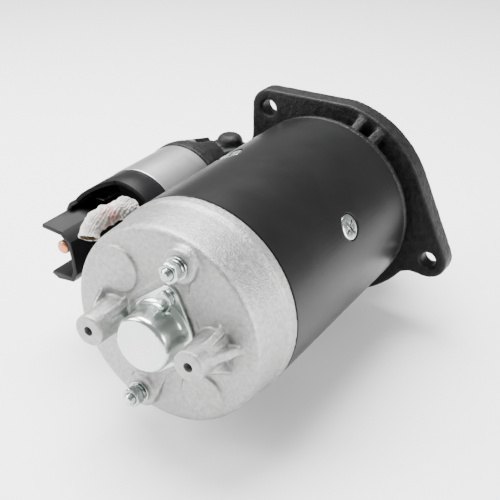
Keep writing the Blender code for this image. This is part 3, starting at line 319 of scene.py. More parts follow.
def finish(name, colour, other, gloss, metal=0.0, grain=(900, 0.15, 0.3), patch=40, rub_and_highlight_colour=None, amount=0.0,
           specular=0.5):
    """gloss: the roughness where the mottling is 0 and where it is 1. grain: its scale, depth and lumps.
    patch: the scale of the mottling. rub_and_highlight_colour and amount: the colour of rubbed corners, which
    on the casting is also a painted highlight, and how much of it."""
    material = bpy.data.materials.new(name)
    material.use_nodes = True
    tree = material.node_tree
    shader = tree.nodes["Principled BSDF"]
    mottle = use(tree, MOTTLE, Scale=patch)
    base = colour_mix(tree, mottle.outputs["Mask"], colour, other)
    if rub_and_highlight_colour:
        corner_rub_and_highlight = use(tree, RUB_AND_HIGHLIGHT, Amount=amount)
        base = colour_mix(tree, corner_rub_and_highlight.outputs["Mask"], base, rub_and_highlight_colour)
    tree.links.new(base, shader.inputs["Base Color"])
    rough = tree.nodes.new("ShaderNodeMapRange")
    rough.inputs["To Min"].default_value, rough.inputs["To Max"].default_value = gloss
    tree.links.new(mottle.outputs["Mask"], rough.inputs["Value"])
    tree.links.new(rough.outputs["Result"], shader.inputs["Roughness"])
    texture = use(tree, GRAIN, Scale=grain[0], Depth=grain[1], Lumps=grain[2])
    tree.links.new(texture.outputs["Normal"], shader.inputs["Normal"])
    shader.inputs["Metallic"].default_value = metal
    shader.inputs["Specular IOR Level"].default_value = specular
    return material


# %% [markdown]
# The blacks: a smooth satin enamel on the yoke, a far rougher coat on the iron casting, a moulded phenolic and
# a rubber. They differ in gloss and grain much more than in colour.

# %% Black finishes
ENAMEL = finish("black_enamel", (0.004, 0.004, 0.0043), (0.006, 0.006, 0.0064), gloss=(0.32, 0.38),
                grain=(500, 0.06, 0.5), patch=30, rub_and_highlight_colour=(0.03, 0.03, 0.031), amount=0.3, specular=0.17)
IRON = finish("rough_black_iron", (0.004, 0.004, 0.0042), (0.010, 0.010, 0.0105), gloss=(0.42, 0.60),
              grain=(600, 1.0, 1.4), patch=220, rub_and_highlight_colour=(0.045, 0.045, 0.045), amount=0.9, specular=0.2)
PLASTIC = finish("black_phenolic", (0.003, 0.003, 0.0034), (0.005, 0.005, 0.0056), gloss=(0.38, 0.48),
                 grain=(1400, 0.12, 0.35), patch=80, rub_and_highlight_colour=(0.03, 0.03, 0.032), amount=0.4, specular=0.13)
RUBBER = finish("black_rubber", (0.012, 0.012, 0.012), (0.022, 0.022, 0.022), gloss=(0.6, 0.75),
                grain=(1400, 0.2, 0.2), patch=150)
print("black finishes:", len(bpy.data.materials))

# %% [markdown]
# The grey metals. The casting is speckled and only partly metallic, because its skin is full of tiny pits.
# Zinc plating is brighter and a little green, and bare steel is oiled and darker.

# %% Grey metals
# The casting's pale corner colour is partly rubbed metal and partly a painted highlight along its ridges.
CAST = finish("cast_aluminium", (0.27, 0.27, 0.265), (0.41, 0.41, 0.405), gloss=(0.36, 0.48), metal=0.8,
              grain=(1100, 1.0, 0.4), patch=420, rub_and_highlight_colour=(0.80, 0.80, 0.79), amount=0.6)
PLATED = finish("bright_zinc", (0.52, 0.58, 0.55), (0.60, 0.64, 0.61), gloss=(0.20, 0.28), metal=1.0,
                grain=(300, 0.03, 0.4), patch=50, rub_and_highlight_colour=(0.9, 0.92, 0.9), amount=0.3)
HARDWARE = finish("zinc_hardware", (0.30, 0.34, 0.33), (0.55, 0.58, 0.56), gloss=(0.16, 0.30), metal=1.0,
                  grain=(700, 0.10, 0.3), patch=260, rub_and_highlight_colour=(0.9, 0.9, 0.88), amount=0.5)
STEEL = finish("oiled_steel", (0.40, 0.40, 0.41), (0.52, 0.52, 0.52), gloss=(0.28, 0.42), metal=1.0,
               grain=(800, 0.08, 0.2), patch=120, rub_and_highlight_colour=(0.7, 0.7, 0.7), amount=0.4)
LAMINATION = finish("steel_laminations", (0.22, 0.22, 0.23), (0.33, 0.32, 0.31), gloss=(0.42, 0.58),
                    metal=1.0, grain=(1200, 0.2, 0.2), patch=200)
print("and grey metals:", len(bpy.data.materials))

# %% [markdown]
# The warm ones: copper, bronze and brass are metals with a strong colour of their own. Winding wire is copper
# under clear enamel, brushes are graphite with copper powder, and the field coils are wrapped in tape.

# %% Warm finishes
COPPER = finish("bare_copper", (0.42, 0.13, 0.06), (0.56, 0.22, 0.12), gloss=(0.22, 0.38), metal=1.0,
                grain=(900, 0.10, 0.3), patch=300, rub_and_highlight_colour=(0.8, 0.5, 0.36), amount=0.6)
WIRE = finish("enamelled_copper", (0.45, 0.16, 0.06), (0.62, 0.25, 0.10), gloss=(0.22, 0.36), metal=0.6,
              grain=(700, 0.1, 0.4), patch=180)
BRONZE = finish("sintered_bronze", (0.42, 0.27, 0.13), (0.55, 0.38, 0.20), gloss=(0.40, 0.55), metal=1.0,
                grain=(1600, 0.3, 0.2), patch=200)
BRASS = finish("bright_brass", (0.70, 0.52, 0.22), (0.80, 0.64, 0.34), gloss=(0.22, 0.36), metal=1.0,
               grain=(900, 0.08, 0.3), patch=200)
CARBON = finish("copper_graphite", (0.045, 0.036, 0.032), (0.10, 0.065, 0.05), gloss=(0.45, 0.6), metal=0.3,
                grain=(1600, 0.25, 0.2), patch=400)
TAPE = finish("varnished_tape", (0.34, 0.25, 0.12), (0.46, 0.35, 0.19), gloss=(0.38, 0.6),
              grain=(500, 0.5, 0.3), patch=220)
print("with the warm finishes:", len(bpy.data.materials))


# %% [markdown]
# The solenoid's steel case was brushed round and round while it turned, so its grain is stretched: very fine
# along the shaft and long around it. The same noise gives both a change of gloss and a faint relief.

# %% Brushed steel
def brushed_material():
    material = finish("brushed_zinc", (0.46, 0.47, 0.465), (0.54, 0.55, 0.545), gloss=(0.30, 0.38), metal=1.0,
                      grain=(700, 0.02, 0.2), patch=25, rub_and_highlight_colour=(0.85, 0.85, 0.83), amount=0.4)
    tree = material.node_tree
    shader = tree.nodes["Principled BSDF"]
    streak = noise_in(tree, scale=60, detail=6, rough=0.7, squeeze=(1, 60, 1))
    spread = tree.nodes.new("ShaderNodeMapRange")
    for label, value in (("From Min", 0.3), ("From Max", 0.7), ("To Min", 0.27), ("To Max", 0.46)):
        spread.inputs[label].default_value = value
    bump = tree.nodes.new("ShaderNodeBump")
    bump.inputs["Strength"].default_value = 0.06
    bump.inputs["Distance"].default_value = 0.3 * MM
    tree.links.new(streak, spread.inputs["Value"])
    tree.links.new(spread.outputs["Result"], shader.inputs["Roughness"])
    tree.links.new(streak, bump.inputs["Height"])
    tree.links.new(bump.outputs["Normal"], shader.inputs["Normal"])
    return material


BRUSHED = brushed_material()
print("the case's finish:", BRUSHED.name)


# %% [markdown]
# A finished piece gets its material, its smooth shading and the body it rides on, and the CAD node that it
# stands for is hidden, always in the same way.

# %% Handing a piece over
def done(obj, material, node, body="motor", angle=35):
    obj.data.materials.clear()
    obj.data.materials.append(material)
    smooth(obj, angle)
    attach(obj, body)
    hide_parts(node)
    print(f"{obj.name}: {len(obj.data.polygons)} faces")
    return obj


# %% [markdown]
# ## Turned pieces
#
# Most of the motor is turned on a lathe. The same shape comes from one circle: extrude it along the axis,
# scale the new ring, and go on. A solid starts from a filled circle, whose face is carried along and closes
# the end. A ring has a hole, so it starts from an open circle, and its last ring is merged with its first.

# %% Turn a profile
def turned(name, profile, centre=(0, 0), sides=96, ring=False):
    """profile: (radius, y) pairs along the outline. The axis runs along Y through centre."""
    bpy.ops.object.select_all(action="DESELECT")
    radius, y = profile[0]
    bpy.ops.mesh.primitive_circle_add(vertices=sides, radius=radius * MM, rotation=(math.pi / 2, 0, 0),
                                      fill_type="NOTHING" if ring else "NGON",
                                      location=at(centre[0], y, centre[1]))
    obj = named(name)
    bpy.ops.object.mode_set(mode="EDIT")
    bpy.ops.mesh.select_all(action="SELECT")
    extrude = bpy.ops.mesh.extrude_edges_move if ring else bpy.ops.mesh.extrude_region_move
    for new_radius, new_y in profile[1:] + (profile[:1] if ring else []):
        extrude(TRANSFORM_OT_translate={"value": (0, (new_y - y) * MM, 0)})
        k = new_radius / radius
        bpy.ops.transform.resize(value=(k, 1, k), center_override=at(centre[0], new_y, centre[1]))
        radius, y = new_radius, new_y
    bpy.ops.mesh.select_all(action="SELECT")
    if ring:
        bpy.ops.mesh.remove_doubles(threshold=0.001 * MM)
    bpy.ops.mesh.normals_make_consistent(inside=False)
    bpy.ops.object.mode_set(mode="OBJECT")
    return obj


# %% [markdown]
# A screw that points outward is first made along Y at the zero, as if on the lathe. It is turned to point
# along X, then swung to its angle around the shaft and moved along to its place.

# %% Aim a piece outward
def placed(obj, degrees, y):
    """Swings a piece that points along X to its angle around the shaft, and moves it along to y."""
    swing = Matrix.Rotation(-math.radians(degrees), 4, "Y")
    obj.matrix_world = Matrix.Translation(at(0, y, 0)) @ swing @ Matrix.Translation(-at(0, 0, 0))
    return settled(obj)


def aimed(obj, degrees, y):
    """Points a piece that was made along Y outward from the shaft."""
    only(obj)
    bpy.ops.object.mode_set(mode="EDIT")
    bpy.ops.mesh.select_all(action="SELECT")
    bpy.ops.transform.rotate(value=math.pi / 2, orient_axis="Z", center_override=at(0, 0, 0))
    obj.update_from_editmode()
    across = [v.co.x for v in obj.data.vertices]
    if abs(max(across) - AXIS.x) < abs(min(across) - AXIS.x):
        bpy.ops.transform.rotate(value=math.pi, orient_axis="Z", center_override=at(0, 0, 0))
    bpy.ops.object.mode_set(mode="OBJECT")
    return placed(obj, degrees, y)


# %% [markdown]
# ## Yoke and pole screws
#
# The yoke is a seamless steel tube, painted satin black. Four countersunk screws hold the pole shoes inside
# it, and the field lead leaves through a hole near its rear end. Each seat is cut with a short turned cutter
# that points outward from the shaft.

# %% Yoke
RIM = 57.5
POLES = (26.5, 116.5, 206.5, 296.5)
POLE_Y = 69.0
LEAD_ANGLE, LEAD_Y = 168.0, 10.0

yoke = turned("yoke_tube", [(52.1, 0.9), (52.7, 0.3), (57.1, 0.3), (RIM, 0.7), (RIM, 66), (RIM, 131.5),
                            (57.1, 132.0), (52.7, 132.0), (52.1, 131.4)], sides=160, ring=True)
seat = turned("seat", [(8.6, 62.0), (8.5, 57.4), (7.8, 56.8), (7.8, 55.9), (4.3, 53.2), (4.3, 48.0)], sides=40)
cutters = [aimed(twin(seat, "seat_cutter"), angle, POLE_Y) for angle in POLES]
cutters.append(aimed(turned("lead_way", [(5.5, 62), (5.5, 46)], sides=32), LEAD_ANGLE, LEAD_Y))
bpy.data.objects.remove(seat)
combined(yoke, [joined(cutters)], "DIFFERENCE")
done(yoke, ENAMEL, "yoke")

# %% [markdown]
# One pole screw is turned, two crossed blocks cut its driver slots, and a small bevel breaks its edges. Its
# twins are then aimed at the four seats.

# %% Pole screws
pattern = turned("pole_screw", [(3.3, 57.2), (6.3, 57.2), (7.0, 56.9), (7.45, 56.4), (7.5, 56.2), (4.0, 53.6),
                                (4.0, 42.8)], sides=48)
slots = []
for turn in (0.5, math.pi / 2 + 0.5):
    bpy.ops.mesh.primitive_cube_add(size=1, location=at(0, 57.0, 0), scale=(9.6 * MM, 3.0 * MM, 1.8 * MM),
                                    rotation=(0, turn, 0))
    slots.append(named("slot"))
rounded(combined(pattern, slots, "DIFFERENCE"), 0.2, 2, 40)
for number, angle in enumerate(POLES, start=1):
    screw = aimed(twin(pattern, f"pole_screw_head_{number}"), angle, POLE_Y)
    done(screw, HARDWARE, f"pole_screw_{number}")
bpy.data.objects.remove(pattern)


# %% [markdown]
# ## Flat outlines
#
# Stamped plates and webs are flat outlines with a thickness. A flat curve does this best: its own bevel
# rounds the edges, and an inner outline becomes a hole. It is made a mesh before it is put in its place.

# %% Arcs, circles and flat plates
def arc(centre, radius, start, end, steps):
    points = []
    for step in range(steps + 1):
        x, z = polar(radius, start + (end - start) * step / steps)
        points.append((centre[0] + x, centre[1] + z))
    return points


def circle(radius, steps):
    return arc((0, 0), radius, 0, 360 - 360 / steps, steps - 1)


def drawn(name, outlines, thickness, soft):
    """A closed flat curve for each outline."""
    curve = bpy.data.curves.new(name, "CURVE")
    curve.dimensions = "2D"
    curve.fill_mode = "BOTH"
    curve.bevel_mode = "ROUND"
    curve.bevel_depth = soft * MM
    curve.bevel_resolution = 2
    curve.offset = -soft * MM
    curve.extrude = (thickness / 2 - soft) * MM
    for outline in outlines:
        spline = curve.splines.new("POLY")
        clean = [p for p, q in zip(outline, outline[-1:] + outline[:-1]) if math.dist(p, q) > 0.01]
        spline.points.add(len(clean) - 1)
        for point, (a, b) in zip(spline.points, clean):
            point.co = (a * MM, b * MM, 0, 1)
        spline.use_cyclic_u = True
    return curve


def as_mesh(name, curve):
    obj = bpy.data.objects.new(name, curve)
    bpy.context.collection.objects.link(obj)
    only(obj)
    bpy.ops.object.convert(target="MESH")
    obj = bpy.context.view_layer.objects.active
    obj.name = name
    return obj


def closed(obj):
    """Merges the seams that a curve leaves, and points all faces outward."""
    bpy.ops.object.mode_set(mode="EDIT")
    bpy.ops.mesh.select_all(action="SELECT")
    bpy.ops.mesh.remove_doubles(threshold=0.001 * MM)
    bpy.ops.mesh.normals_make_consistent(inside=False)
    bpy.ops.object.mode_set(mode="OBJECT")
    return obj


# %% [markdown]
# The outlines lie in one of two ways. A plate lies across the shaft: its outline is x and z, and its thickness
# runs along Y. A web stands along the shaft and points outward: its outline is its reach and its y.

# %% Plates across the shaft and webs along it
def plate(name, outlines, y_from, y_to, soft=0.0):
    obj = as_mesh(name, drawn(name, outlines, y_to - y_from, soft))
    obj.location = at(0, (y_from + y_to) / 2, 0)
    obj.rotation_euler = (math.pi / 2, 0, 0)
    return closed(settled(obj))


def web(name, outline, width, degrees):
    obj = closed(as_mesh(name, drawn(name, [outline], width, 0.0)))
    obj.location = at(0, 0, 0)
    return placed(settled(obj), degrees, 0)


# %% [markdown]
# ## Rear end shield
#
# The shield is one aluminium casting. Its corners are all soft, because molten metal doesn't fill a sharp
# one. So the solids are joined first, then a Remesh wraps one even skin over them, and a Smooth melts every
# inner and outer corner a little. First come its dished body and the two-lobed plateau under the end cap.

# %% The shield's body
FACE = -34.2
CAP_ANGLES = (75.0, 255.0)
CAP_REACH = 21.5


def lobed(middle, tip, steps=20):
    """A disc with a smaller lobe around each cap screw, joined by tangents."""
    lean = math.degrees(math.acos((middle - tip) / CAP_REACH))
    points = []
    for heading in CAP_ANGLES:
        points += arc(polar(CAP_REACH, heading), tip, heading - lean, heading + lean, steps)
        points += arc((0, 0), middle, heading + lean, heading + 180 - lean, steps)
    return points


shield = turned("end_shield", [(51.6, 3.8), (51.6, 0.0), (RIM, 0.0), (RIM, -6.6), (57.2, -7.2), (56.5, -7.6),
                               (56.2, -9.0), (55.3, -28.0), (55.1, -31.2), (54.4, -33.2), (52.6, FACE),
                               (30, FACE), (9.5, FACE), (9.5, -17.8), (12.5, -17.8), (13.5, -30.3),
                               (48.4, -30.3), (49.0, -22.0), (49.0, 3.8)], sides=160, ring=True)
solids = [plate("hub", [lobed(22.4, 9.0)], -35.05, -31.3)]
print("shield body:", len(shield.data.polygons), "faces")

# %% [markdown]
# On the face stand two tapered support bosses, two round pads, and a boss for each through bolt with a broad
# web that runs in to the hub. Every one starts a little inside the wall, so that the union has a clear overlap.

# %% Bosses and pads
SUPPORT_X = 30
BOLT_ANGLES = (71.5, 251.5)
BOLT_REACH = 43

for side in (-1, 1):
    solids.append(turned(f"boss_{side}", [(9.5, -31.5), (8.7, -45), (8.5, -56.6)], (SUPPORT_X * side, 0), 64))
for x, z in ((-27.0, 26.2), (23.0, -32.6)):
    solids.append(turned("pad", [(13.0, -31.4), (12.7, FACE - 1.6)], (x, z), 64))
for angle in BOLT_ANGLES:
    boss = [(10.2, -31.6), (9.6, -35), (9.3, -39.1)]
    solids.append(turned("stud_boss", boss, polar(BOLT_REACH, angle), 64))
    outline = [(20, -34.7), (29.5, -35.4), (36, -38.0), (41, -38.0), (41, -31.7), (20, -31.7)]
    solids.append(web("stud_web", outline, 17, angle + 2))

# %% [markdown]
# Thin ribs lean on the support bosses and run down to the face, two on one boss and three on the other. Each
# one has its own heading from its boss and its own reach.

# %% Ribs of the support bosses
for x, degrees, reach in ((-SUPPORT_X, 133, 14), (-SUPPORT_X, 48, 12), (SUPPORT_X, 63, 13),
                          (SUPPORT_X, 8, 16.5), (SUPPORT_X, -55, 16.5)):
    outline = [(3, -50), (8.6, -48.2), (reach, FACE - 0.6), (reach, -31.2), (3, -31.2)]
    solids.append(moved(web("boss_rib", outline, 4.2, degrees), x, 0))
print("joining", len(solids), "solids to the shield")
combined(shield, solids, "UNION")

# %% [markdown]
# The skin comes now: the remesh is fine enough to keep the ribs, and three passes of smoothing soften it. The
# holes are drilled after it, since those are sharp on the real casting too.

# %% Its cast skin and its drilled holes
apply(shield, "REMESH", mode="VOXEL", voxel_size=0.7 * MM)
apply(shield, "SMOOTH", factor=0.5, iterations=3)
drills = [turned("bore", [(8.2, -60), (8.2, 0)], sides=64)]
for side in (-1, 1):
    drills.append(turned("tapping", [(3.1, -60), (2.5, -56.0), (2.5, -37)], (SUPPORT_X * side, 0), 40))
for angle in BOLT_ANGLES:
    drills.append(turned("way", [(3.3, -60), (3.3, 10)], polar(BOLT_REACH, angle), 40))
for angle in CAP_ANGLES:
    drills.append(turned("cap_tapping", [(2.4, -50), (2.4, -26.5)], polar(CAP_REACH, angle), 32))
combined(shield, [joined(drills)], "DIFFERENCE")
done(shield, CAST, "rear_end_shield", angle=50)


# %% [markdown]
# ## End cap
#
# The cap is pressed from thin sheet and plated bright. The press leaves a generous flare between the foot
# and the cup, and that flare is what catches the light. So the cup's profile has many short steps there, and
# the foot is a plate with softened edges, joined on with the lid.

# %% End cap
cap = turned("end_cap_cup", [(19.0, -35.6), (19.0, -37.0), (18.2, -37.25), (17.2, -37.9), (16.4, -38.8),
                             (15.9, -40.2), (15.6, -42.0), (15.5, -47.0), (15.5, -51.4), (15.3, -52.3),
                             (14.8, -53.2), (14.0, -53.8), (13.0, -54.0), (12.6, -53.0), (13.4, -52.6),
                             (14.2, -51.4), (14.4, -42.0), (15.4, -39.0), (15.6, -35.6)], sides=128, ring=True)
lid = turned("cap_lid", [(13.4, -54.0), (13.4, -52.9)], sides=128)
foot = plate("cap_foot", [lobed(19.4, 6.2), circle(17.6, 96)], -37.15, -35.35, 0.35)
ways = [turned("cap_way", [(2.5, -40), (2.5, -33)], polar(CAP_REACH, angle), 32) for angle in CAP_ANGLES]
combined(foot, ways, "DIFFERENCE")
combined(cap, [lid, foot], "UNION")
done(cap, PLATED, "end_cap", angle=30)


# %% [markdown]
# ## Nuts, washers, bolts and screws
#
# A hexagon's corners are turned off at both ends. That is a Boolean of two simple solids: a six-sided prism
# and a turned disc with sloping rims, and what they share is the nut. A thread is a stack of small ridges.

# %% Hexagons and threads
def hexagon(name, across, y_from, y_to, turn, hole=0.0, under=True):
    """A nut or a bolt head around the shaft's line. under: its far rim is turned off too."""
    corner = across / 2 / math.cos(math.pi / 6)
    flat, wide = across / 2 * 0.92, corner + 0.05
    lean = across / 2 * 0.16
    disc = [(flat, y_from), (wide, y_from + lean), (wide, y_to - lean), (flat if under else wide, y_to)]
    prism = placed(turned(name, [(corner, y_from - 1), (corner, y_to + 1)], sides=6), turn, 0)
    combined(prism, [turned("rims", disc, sides=64)], "INTERSECT")
    if hole:
        bore = [(hole + 0.7, y_from - 0.5), (hole + 0.5, y_from), (hole, y_from + 0.6), (hole, y_to - 0.6),
                (hole + 0.5, y_to), (hole + 0.7, y_to + 0.5)]
        combined(prism, [turned("hole", bore, sides=40)], "DIFFERENCE")
    return rounded(prism, 0.12, 2, 25)


def threaded(name, radius, pitch, y_thread_end, y_tip, y_other):
    """A stud whose thread starts at its tip."""
    profile = [(radius * 0.70, y_tip), (radius * 0.86, y_tip + 0.5)]
    root = radius - pitch * 0.5
    y = y_tip + 0.9
    while y < y_thread_end:
        profile += [(radius, y), (radius, y + pitch * 0.2), (root, y + pitch * 0.5), (root, y + pitch * 0.62)]
        y += pitch
    return turned(name, profile + [(radius, y), (radius, y_other)], sides=40)


# %% [markdown]
# Each through bolt carries a plain washer, a split spring washer and a nut on its threaded end. One set is
# made around the shaft's line, and a twin of each piece is moved out to each bolt. The spring washer's split
# is a slanted block cut out of a ring.

# %% Through bolts with their washers and nuts
bolt = threaded("bolt", 3.0, 1.0, -36.0, -50.2, 141.5)
washer = turned("washer", [(3.3, -40.6), (6.0, -40.6), (6.0, -39.3), (3.3, -39.3)], sides=64, ring=True)
rounded(washer, 0.18)
spring = turned("spring", [(3.35, -42.3), (5.3, -42.25), (5.3, -40.9), (3.35, -40.95)], sides=64, ring=True)
bpy.ops.mesh.primitive_cube_add(size=1, location=at(4.3, -41.6, 0), rotation=(0.5, 0, 0),
                                scale=(3.2 * MM, 4 * MM, 0.7 * MM))
rounded(combined(spring, [named("split")], "DIFFERENCE"), 0.12)
nut = hexagon("nut", 10.0, -47.5, -42.6, 15, 3.05)
BOLT_SET = (
    (bolt, "m6_bolt", "through_bolt", "steel"),
    (washer, "plain_washer", "through_bolt_washer", "satin_zinc"),
    (spring, "split_washer", "spring_washer", "satin_zinc"),
    (nut, "m6_nut", "through_bolt_nut", "satin_zinc"),
)
for number, angle in enumerate(BOLT_ANGLES, start=1):
    for pattern, name, node, slot in BOLT_SET:
        piece = moved(twin(pattern, f"{name}_{number}"), *polar(BOLT_REACH, angle))
        done(piece, HARDWARE, f"{node}_{number}")
for pattern, *_ in BOLT_SET:
    bpy.data.objects.remove(pattern)

# %% [markdown]
# The end cap is held by two small hexagon screws with a round collar under the head. Only the head's outer rim
# is turned off, because the other one runs into the collar.

# %% Cap screws
pattern = turned("cap_screw", [(2.0, -27.6), (2.0, -37.4), (4.1, -37.4), (4.3, -37.8), (4.0, -38.3),
                               (3.2, -38.6)], sides=48)
combined(pattern, [hexagon("head", 8.0, -41.0, -38.2, 10, under=False)], "UNION")
for number, angle in enumerate(CAP_ANGLES, start=1):
    screw = moved(twin(pattern, f"cap_screw_{number}"), *polar(CAP_REACH, angle))
    done(screw, HARDWARE, f"end_cap_screw_{number}")
bpy.data.objects.remove(pattern)


# %% [markdown]
# ## Drive-end housing
#
# This iron casting is far rougher than the shield, and its shape is all in the CAD already. A copy of the CAD
# node has its loose triangles merged, then gets the same kind of cast skin, and a broad noise pushes the skin
# in and out by a tenth or two, as sand does in a mould.

# %% Housing
def copied(node, name):
    """A copy of a CAD node to work on. The node itself stays as it is."""
    obj = twin(nodes[node], name)
    for key in list(obj.keys()):
        del obj[key]
    obj.parent = None
    only(obj)
    bpy.ops.object.mode_set(mode="EDIT")
    bpy.ops.mesh.select_all(action="SELECT")
    bpy.ops.mesh.remove_doubles(threshold=0.002 * MM)
    bpy.ops.object.mode_set(mode="OBJECT")
    return obj


def clouds(name, size, depth=0):
    """A cloudy texture for Displace. size: in millimetres."""
    texture = bpy.data.textures.new(name, "CLOUDS")
    texture.noise_scale = size * MM
    if depth:
        texture.noise_depth = depth
    return texture


housing = copied("drive_end_housing", "nose_housing")
apply(housing, "REMESH", mode="VOXEL", voxel_size=0.85 * MM)
apply(housing, "SMOOTH", factor=0.5, iterations=6)
apply(housing, "DISPLACE", texture=clouds("sand", 2.2), texture_coords="LOCAL", strength=0.35 * MM,
      mid_level=0.5)
apply(housing, "DECIMATE", ratio=0.6)
done(housing, IRON, "drive_end_housing", angle=60)


# %% [markdown]
# ## Solenoid
#
# The case is a drawn steel cup, brushed on the lathe. It is turned about the solenoid's own axis as one ring,
# thin along its side and thick at its far end, where two tapped holes take the screws from the housing.

# %% Solenoid case
case = turned("solenoid_body", [(26.1, 62.1), (28.2, 62.1), (28.4, 62.4), (28.4, 106.4), (27.9, 107.0),
                                (12.6, 107.0), (12.6, 102.6), (26.1, 102.6)], SOLENOID, 128, ring=True)
taps = [turned("tap", [(2.6, 99), (2.6, 110)], [s + p for s, p in zip(SOLENOID, polar(22.6, angle))], 24)
        for angle in (95, 275)]
combined(case, taps, "DIFFERENCE")
done(case, BRUSHED, "solenoid_case", angle=25)

# %% [markdown]
# The cap is one moulding in black phenolic: a hood over the terminals, and a shroud around the battery stud.
# Its shape is all in the CAD, so a copy only gets the small roundings that a mould leaves on every edge.

# %% Solenoid cap
moulding = rounded(copied("solenoid_cap", "terminal_cap"), 0.35, 2, 34)
done(moulding, PLASTIC, "solenoid_cap", angle=40)

# %% [markdown]
# Two copper studs stand in the cap, on a line that is tilted a little. Each has a thread's first turn and a
# groove near its tip, and a wide head inside the cap. A brass nut clamps the lead on the motor's stud.

# %% Terminals
STUD_REACH, STUD_TILT = 11.6, 5.0


def stud_place(side):
    x, z = polar(STUD_REACH, STUD_TILT)
    return SOLENOID[0] + side * x, SOLENOID[1] + side * z


for name, side, tip, head in (("battery", -1, 3.0, 7.0), ("motor", 1, 37.0, 6.2)):
    profile = [(2.9, tip), (3.5, tip + 0.35), (4.0, tip + 1.1), (4.0, tip + 2.8), (3.55, tip + 3.3),
               (3.55, tip + 3.9), (4.0, tip + 4.4), (4.0, 56.3), (head, 56.3), (head, 58.8)]
    done(turned(f"{name}_stud", profile, stud_place(side), 48), COPPER, f"{name}_terminal")
nut = moved(hexagon("lead_nut", 12.0, 38.5, 43.5, 20, 4.05), *stud_place(1))
done(nut, BRASS, "motor_terminal_nut")


# %% [markdown]
# ## Field lead and its sleeve
#
# A copper braid leaves the yoke and climbs to the motor terminal inside a loose sleeve of woven glass. The
# cloth is matt and uneven, fine ridges run across it, and a pink mark is left on it in one place. So its
# colour has a mottled stain, kept inside a soft ball around that place, and a wave adds the ridges.

# %% The sleeve's cloth
STAIN_PLACE = at(-69.0, 11.0, 27.0)
PINK = (0.50, 0.16, 0.15)


def stained(tree, base):
    """The base colour with pink patches near the stain's place."""
    patches = use(tree, MOTTLE, Scale=260, Low=0.45, High=0.6)
    pink = colour_mix(tree, patches.outputs["Mask"], base, PINK)
    coords = tree.nodes.new("ShaderNodeTexCoord")
    away = tree.nodes.new("ShaderNodeVectorMath")
    away.operation = "DISTANCE"
    away.inputs[1].default_value = STAIN_PLACE
    near = tree.nodes.new("ShaderNodeMapRange")
    near.inputs["From Min"].default_value = 9 * MM
    near.inputs["From Max"].default_value = 3 * MM
    tree.links.new(coords.outputs["Object"], away.inputs[0])
    tree.links.new(away.outputs["Value"], near.inputs["Value"])
    return colour_mix(tree, near.outputs["Result"], base, pink)


def sleeve_material():
    material = finish("woven_glass", (0.42, 0.40, 0.36), (0.80, 0.79, 0.75), gloss=(0.75, 0.9),
                      grain=(700, 0.5, 0.5), patch=120)
    tree = material.node_tree
    shader = tree.nodes["Principled BSDF"]
    tree.links.new(stained(tree, shader.inputs["Base Color"].links[0].from_socket), shader.inputs["Base Color"])
    coords = tree.nodes.new("ShaderNodeTexCoord")
    wave = tree.nodes.new("ShaderNodeTexWave")
    wave.inputs["Scale"].default_value = 300
    wave.inputs["Distortion"].default_value = 3
    bump = tree.nodes.new("ShaderNodeBump")
    bump.inputs["Strength"].default_value = 0.8
    bump.inputs["Distance"].default_value = 0.4 * MM
    tree.links.new(coords.outputs["Object"], wave.inputs["Vector"])
    tree.links.new(wave.outputs["Fac"], bump.inputs["Height"])
    tree.links.new(shader.inputs["Normal"].links[0].from_socket, bump.inputs["Normal"])
    tree.links.new(bump.outputs["Normal"], shader.inputs["Normal"])
    shader.inputs["Sheen Weight"].default_value = 0.3
    return material


GLASS_CLOTH = sleeve_material()
# The inner side of the sleeve's wall is dark brown, and it shows where the cut end gapes.
DARK_INSIDE = finish("dark_brown_inside", (0.10, 0.065, 0.03), (0.20, 0.14, 0.07), gloss=(0.8, 0.95),
                  grain=(900, 0.5, 0.5), patch=300)
print("sleeve finishes:", GLASS_CLOTH.name, DARK_INSIDE.name)

# %% [markdown]
# The sleeve is soft: it is flattened, wrinkled and pinched where it bends, and its cut end gapes. It starts as
# an open tube along the lead. Large clouds crumple it, small clouds crease it, and at the end it gets a wall
# whose inner side is dark brown.

# %% The sleeve's shape
SLEEVE = [(-73.6, -1.6, 16.0), (-74.6, 1.2, 19.2), (-74.8, 4.8, 22.0), (-73.6, 10.0, 24.0), (-71.8, 15.5, 24.2),
          (-70.4, 21.5, 24.8), (-69.8, 26.5, 24.4), (-70.3, 31.0, 21.0), (-71.8, 34.6, 16.8)]


def smooth_route(points, steps):
    """Points on a smooth curve through the given ones, with steps between each two."""
    ends = [points[0], *points, points[-1]]
    route = []
    for a, b, c, d in zip(ends, ends[1:], ends[2:], ends[3:]):
        for step in range(steps):
            t = step / steps
            route.append([0.5 * (2 * q + (r - p) * t + (2 * p - 5 * q + 4 * r - s) * t**2
                                 + (3 * q - p - 3 * r + s) * t**3) for p, q, r, s in zip(a, b, c, d)])
    return route + [points[-1]]


def open_tube(name, route, radius, resolution):
    curve = bpy.data.curves.new(name, "CURVE")
    curve.dimensions = "3D"
    curve.bevel_depth = radius * MM
    curve.bevel_resolution = resolution
    spline = curve.splines.new("POLY")
    spline.points.add(len(route) - 1)
    for point, (x, y, z) in zip(spline.points, route):
        point.co = (*at(x, y, z), 1)
    return as_mesh(name, curve)


sleeve = open_tube("glass_sleeve", smooth_route(SLEEVE, 6), 6.0, 7)
for texture, strength, level in ((clouds("folds", 5.5, 2), 3.4, 0.52), (clouds("creases", 1.6), 0.9, 0.5)):
    apply(sleeve, "SUBSURF", levels=1, render_levels=1)
    apply(sleeve, "DISPLACE", texture=texture, texture_coords="LOCAL", strength=strength * MM, mid_level=level)
print("crumpled sleeve:", len(sleeve.data.polygons), "faces")

# %% [markdown]
# The sleeve has two materials, one on each side of its wall, so it is handed over by its own calls. The braid
# inside it is right as it is in the CAD, and only its seams are merged.

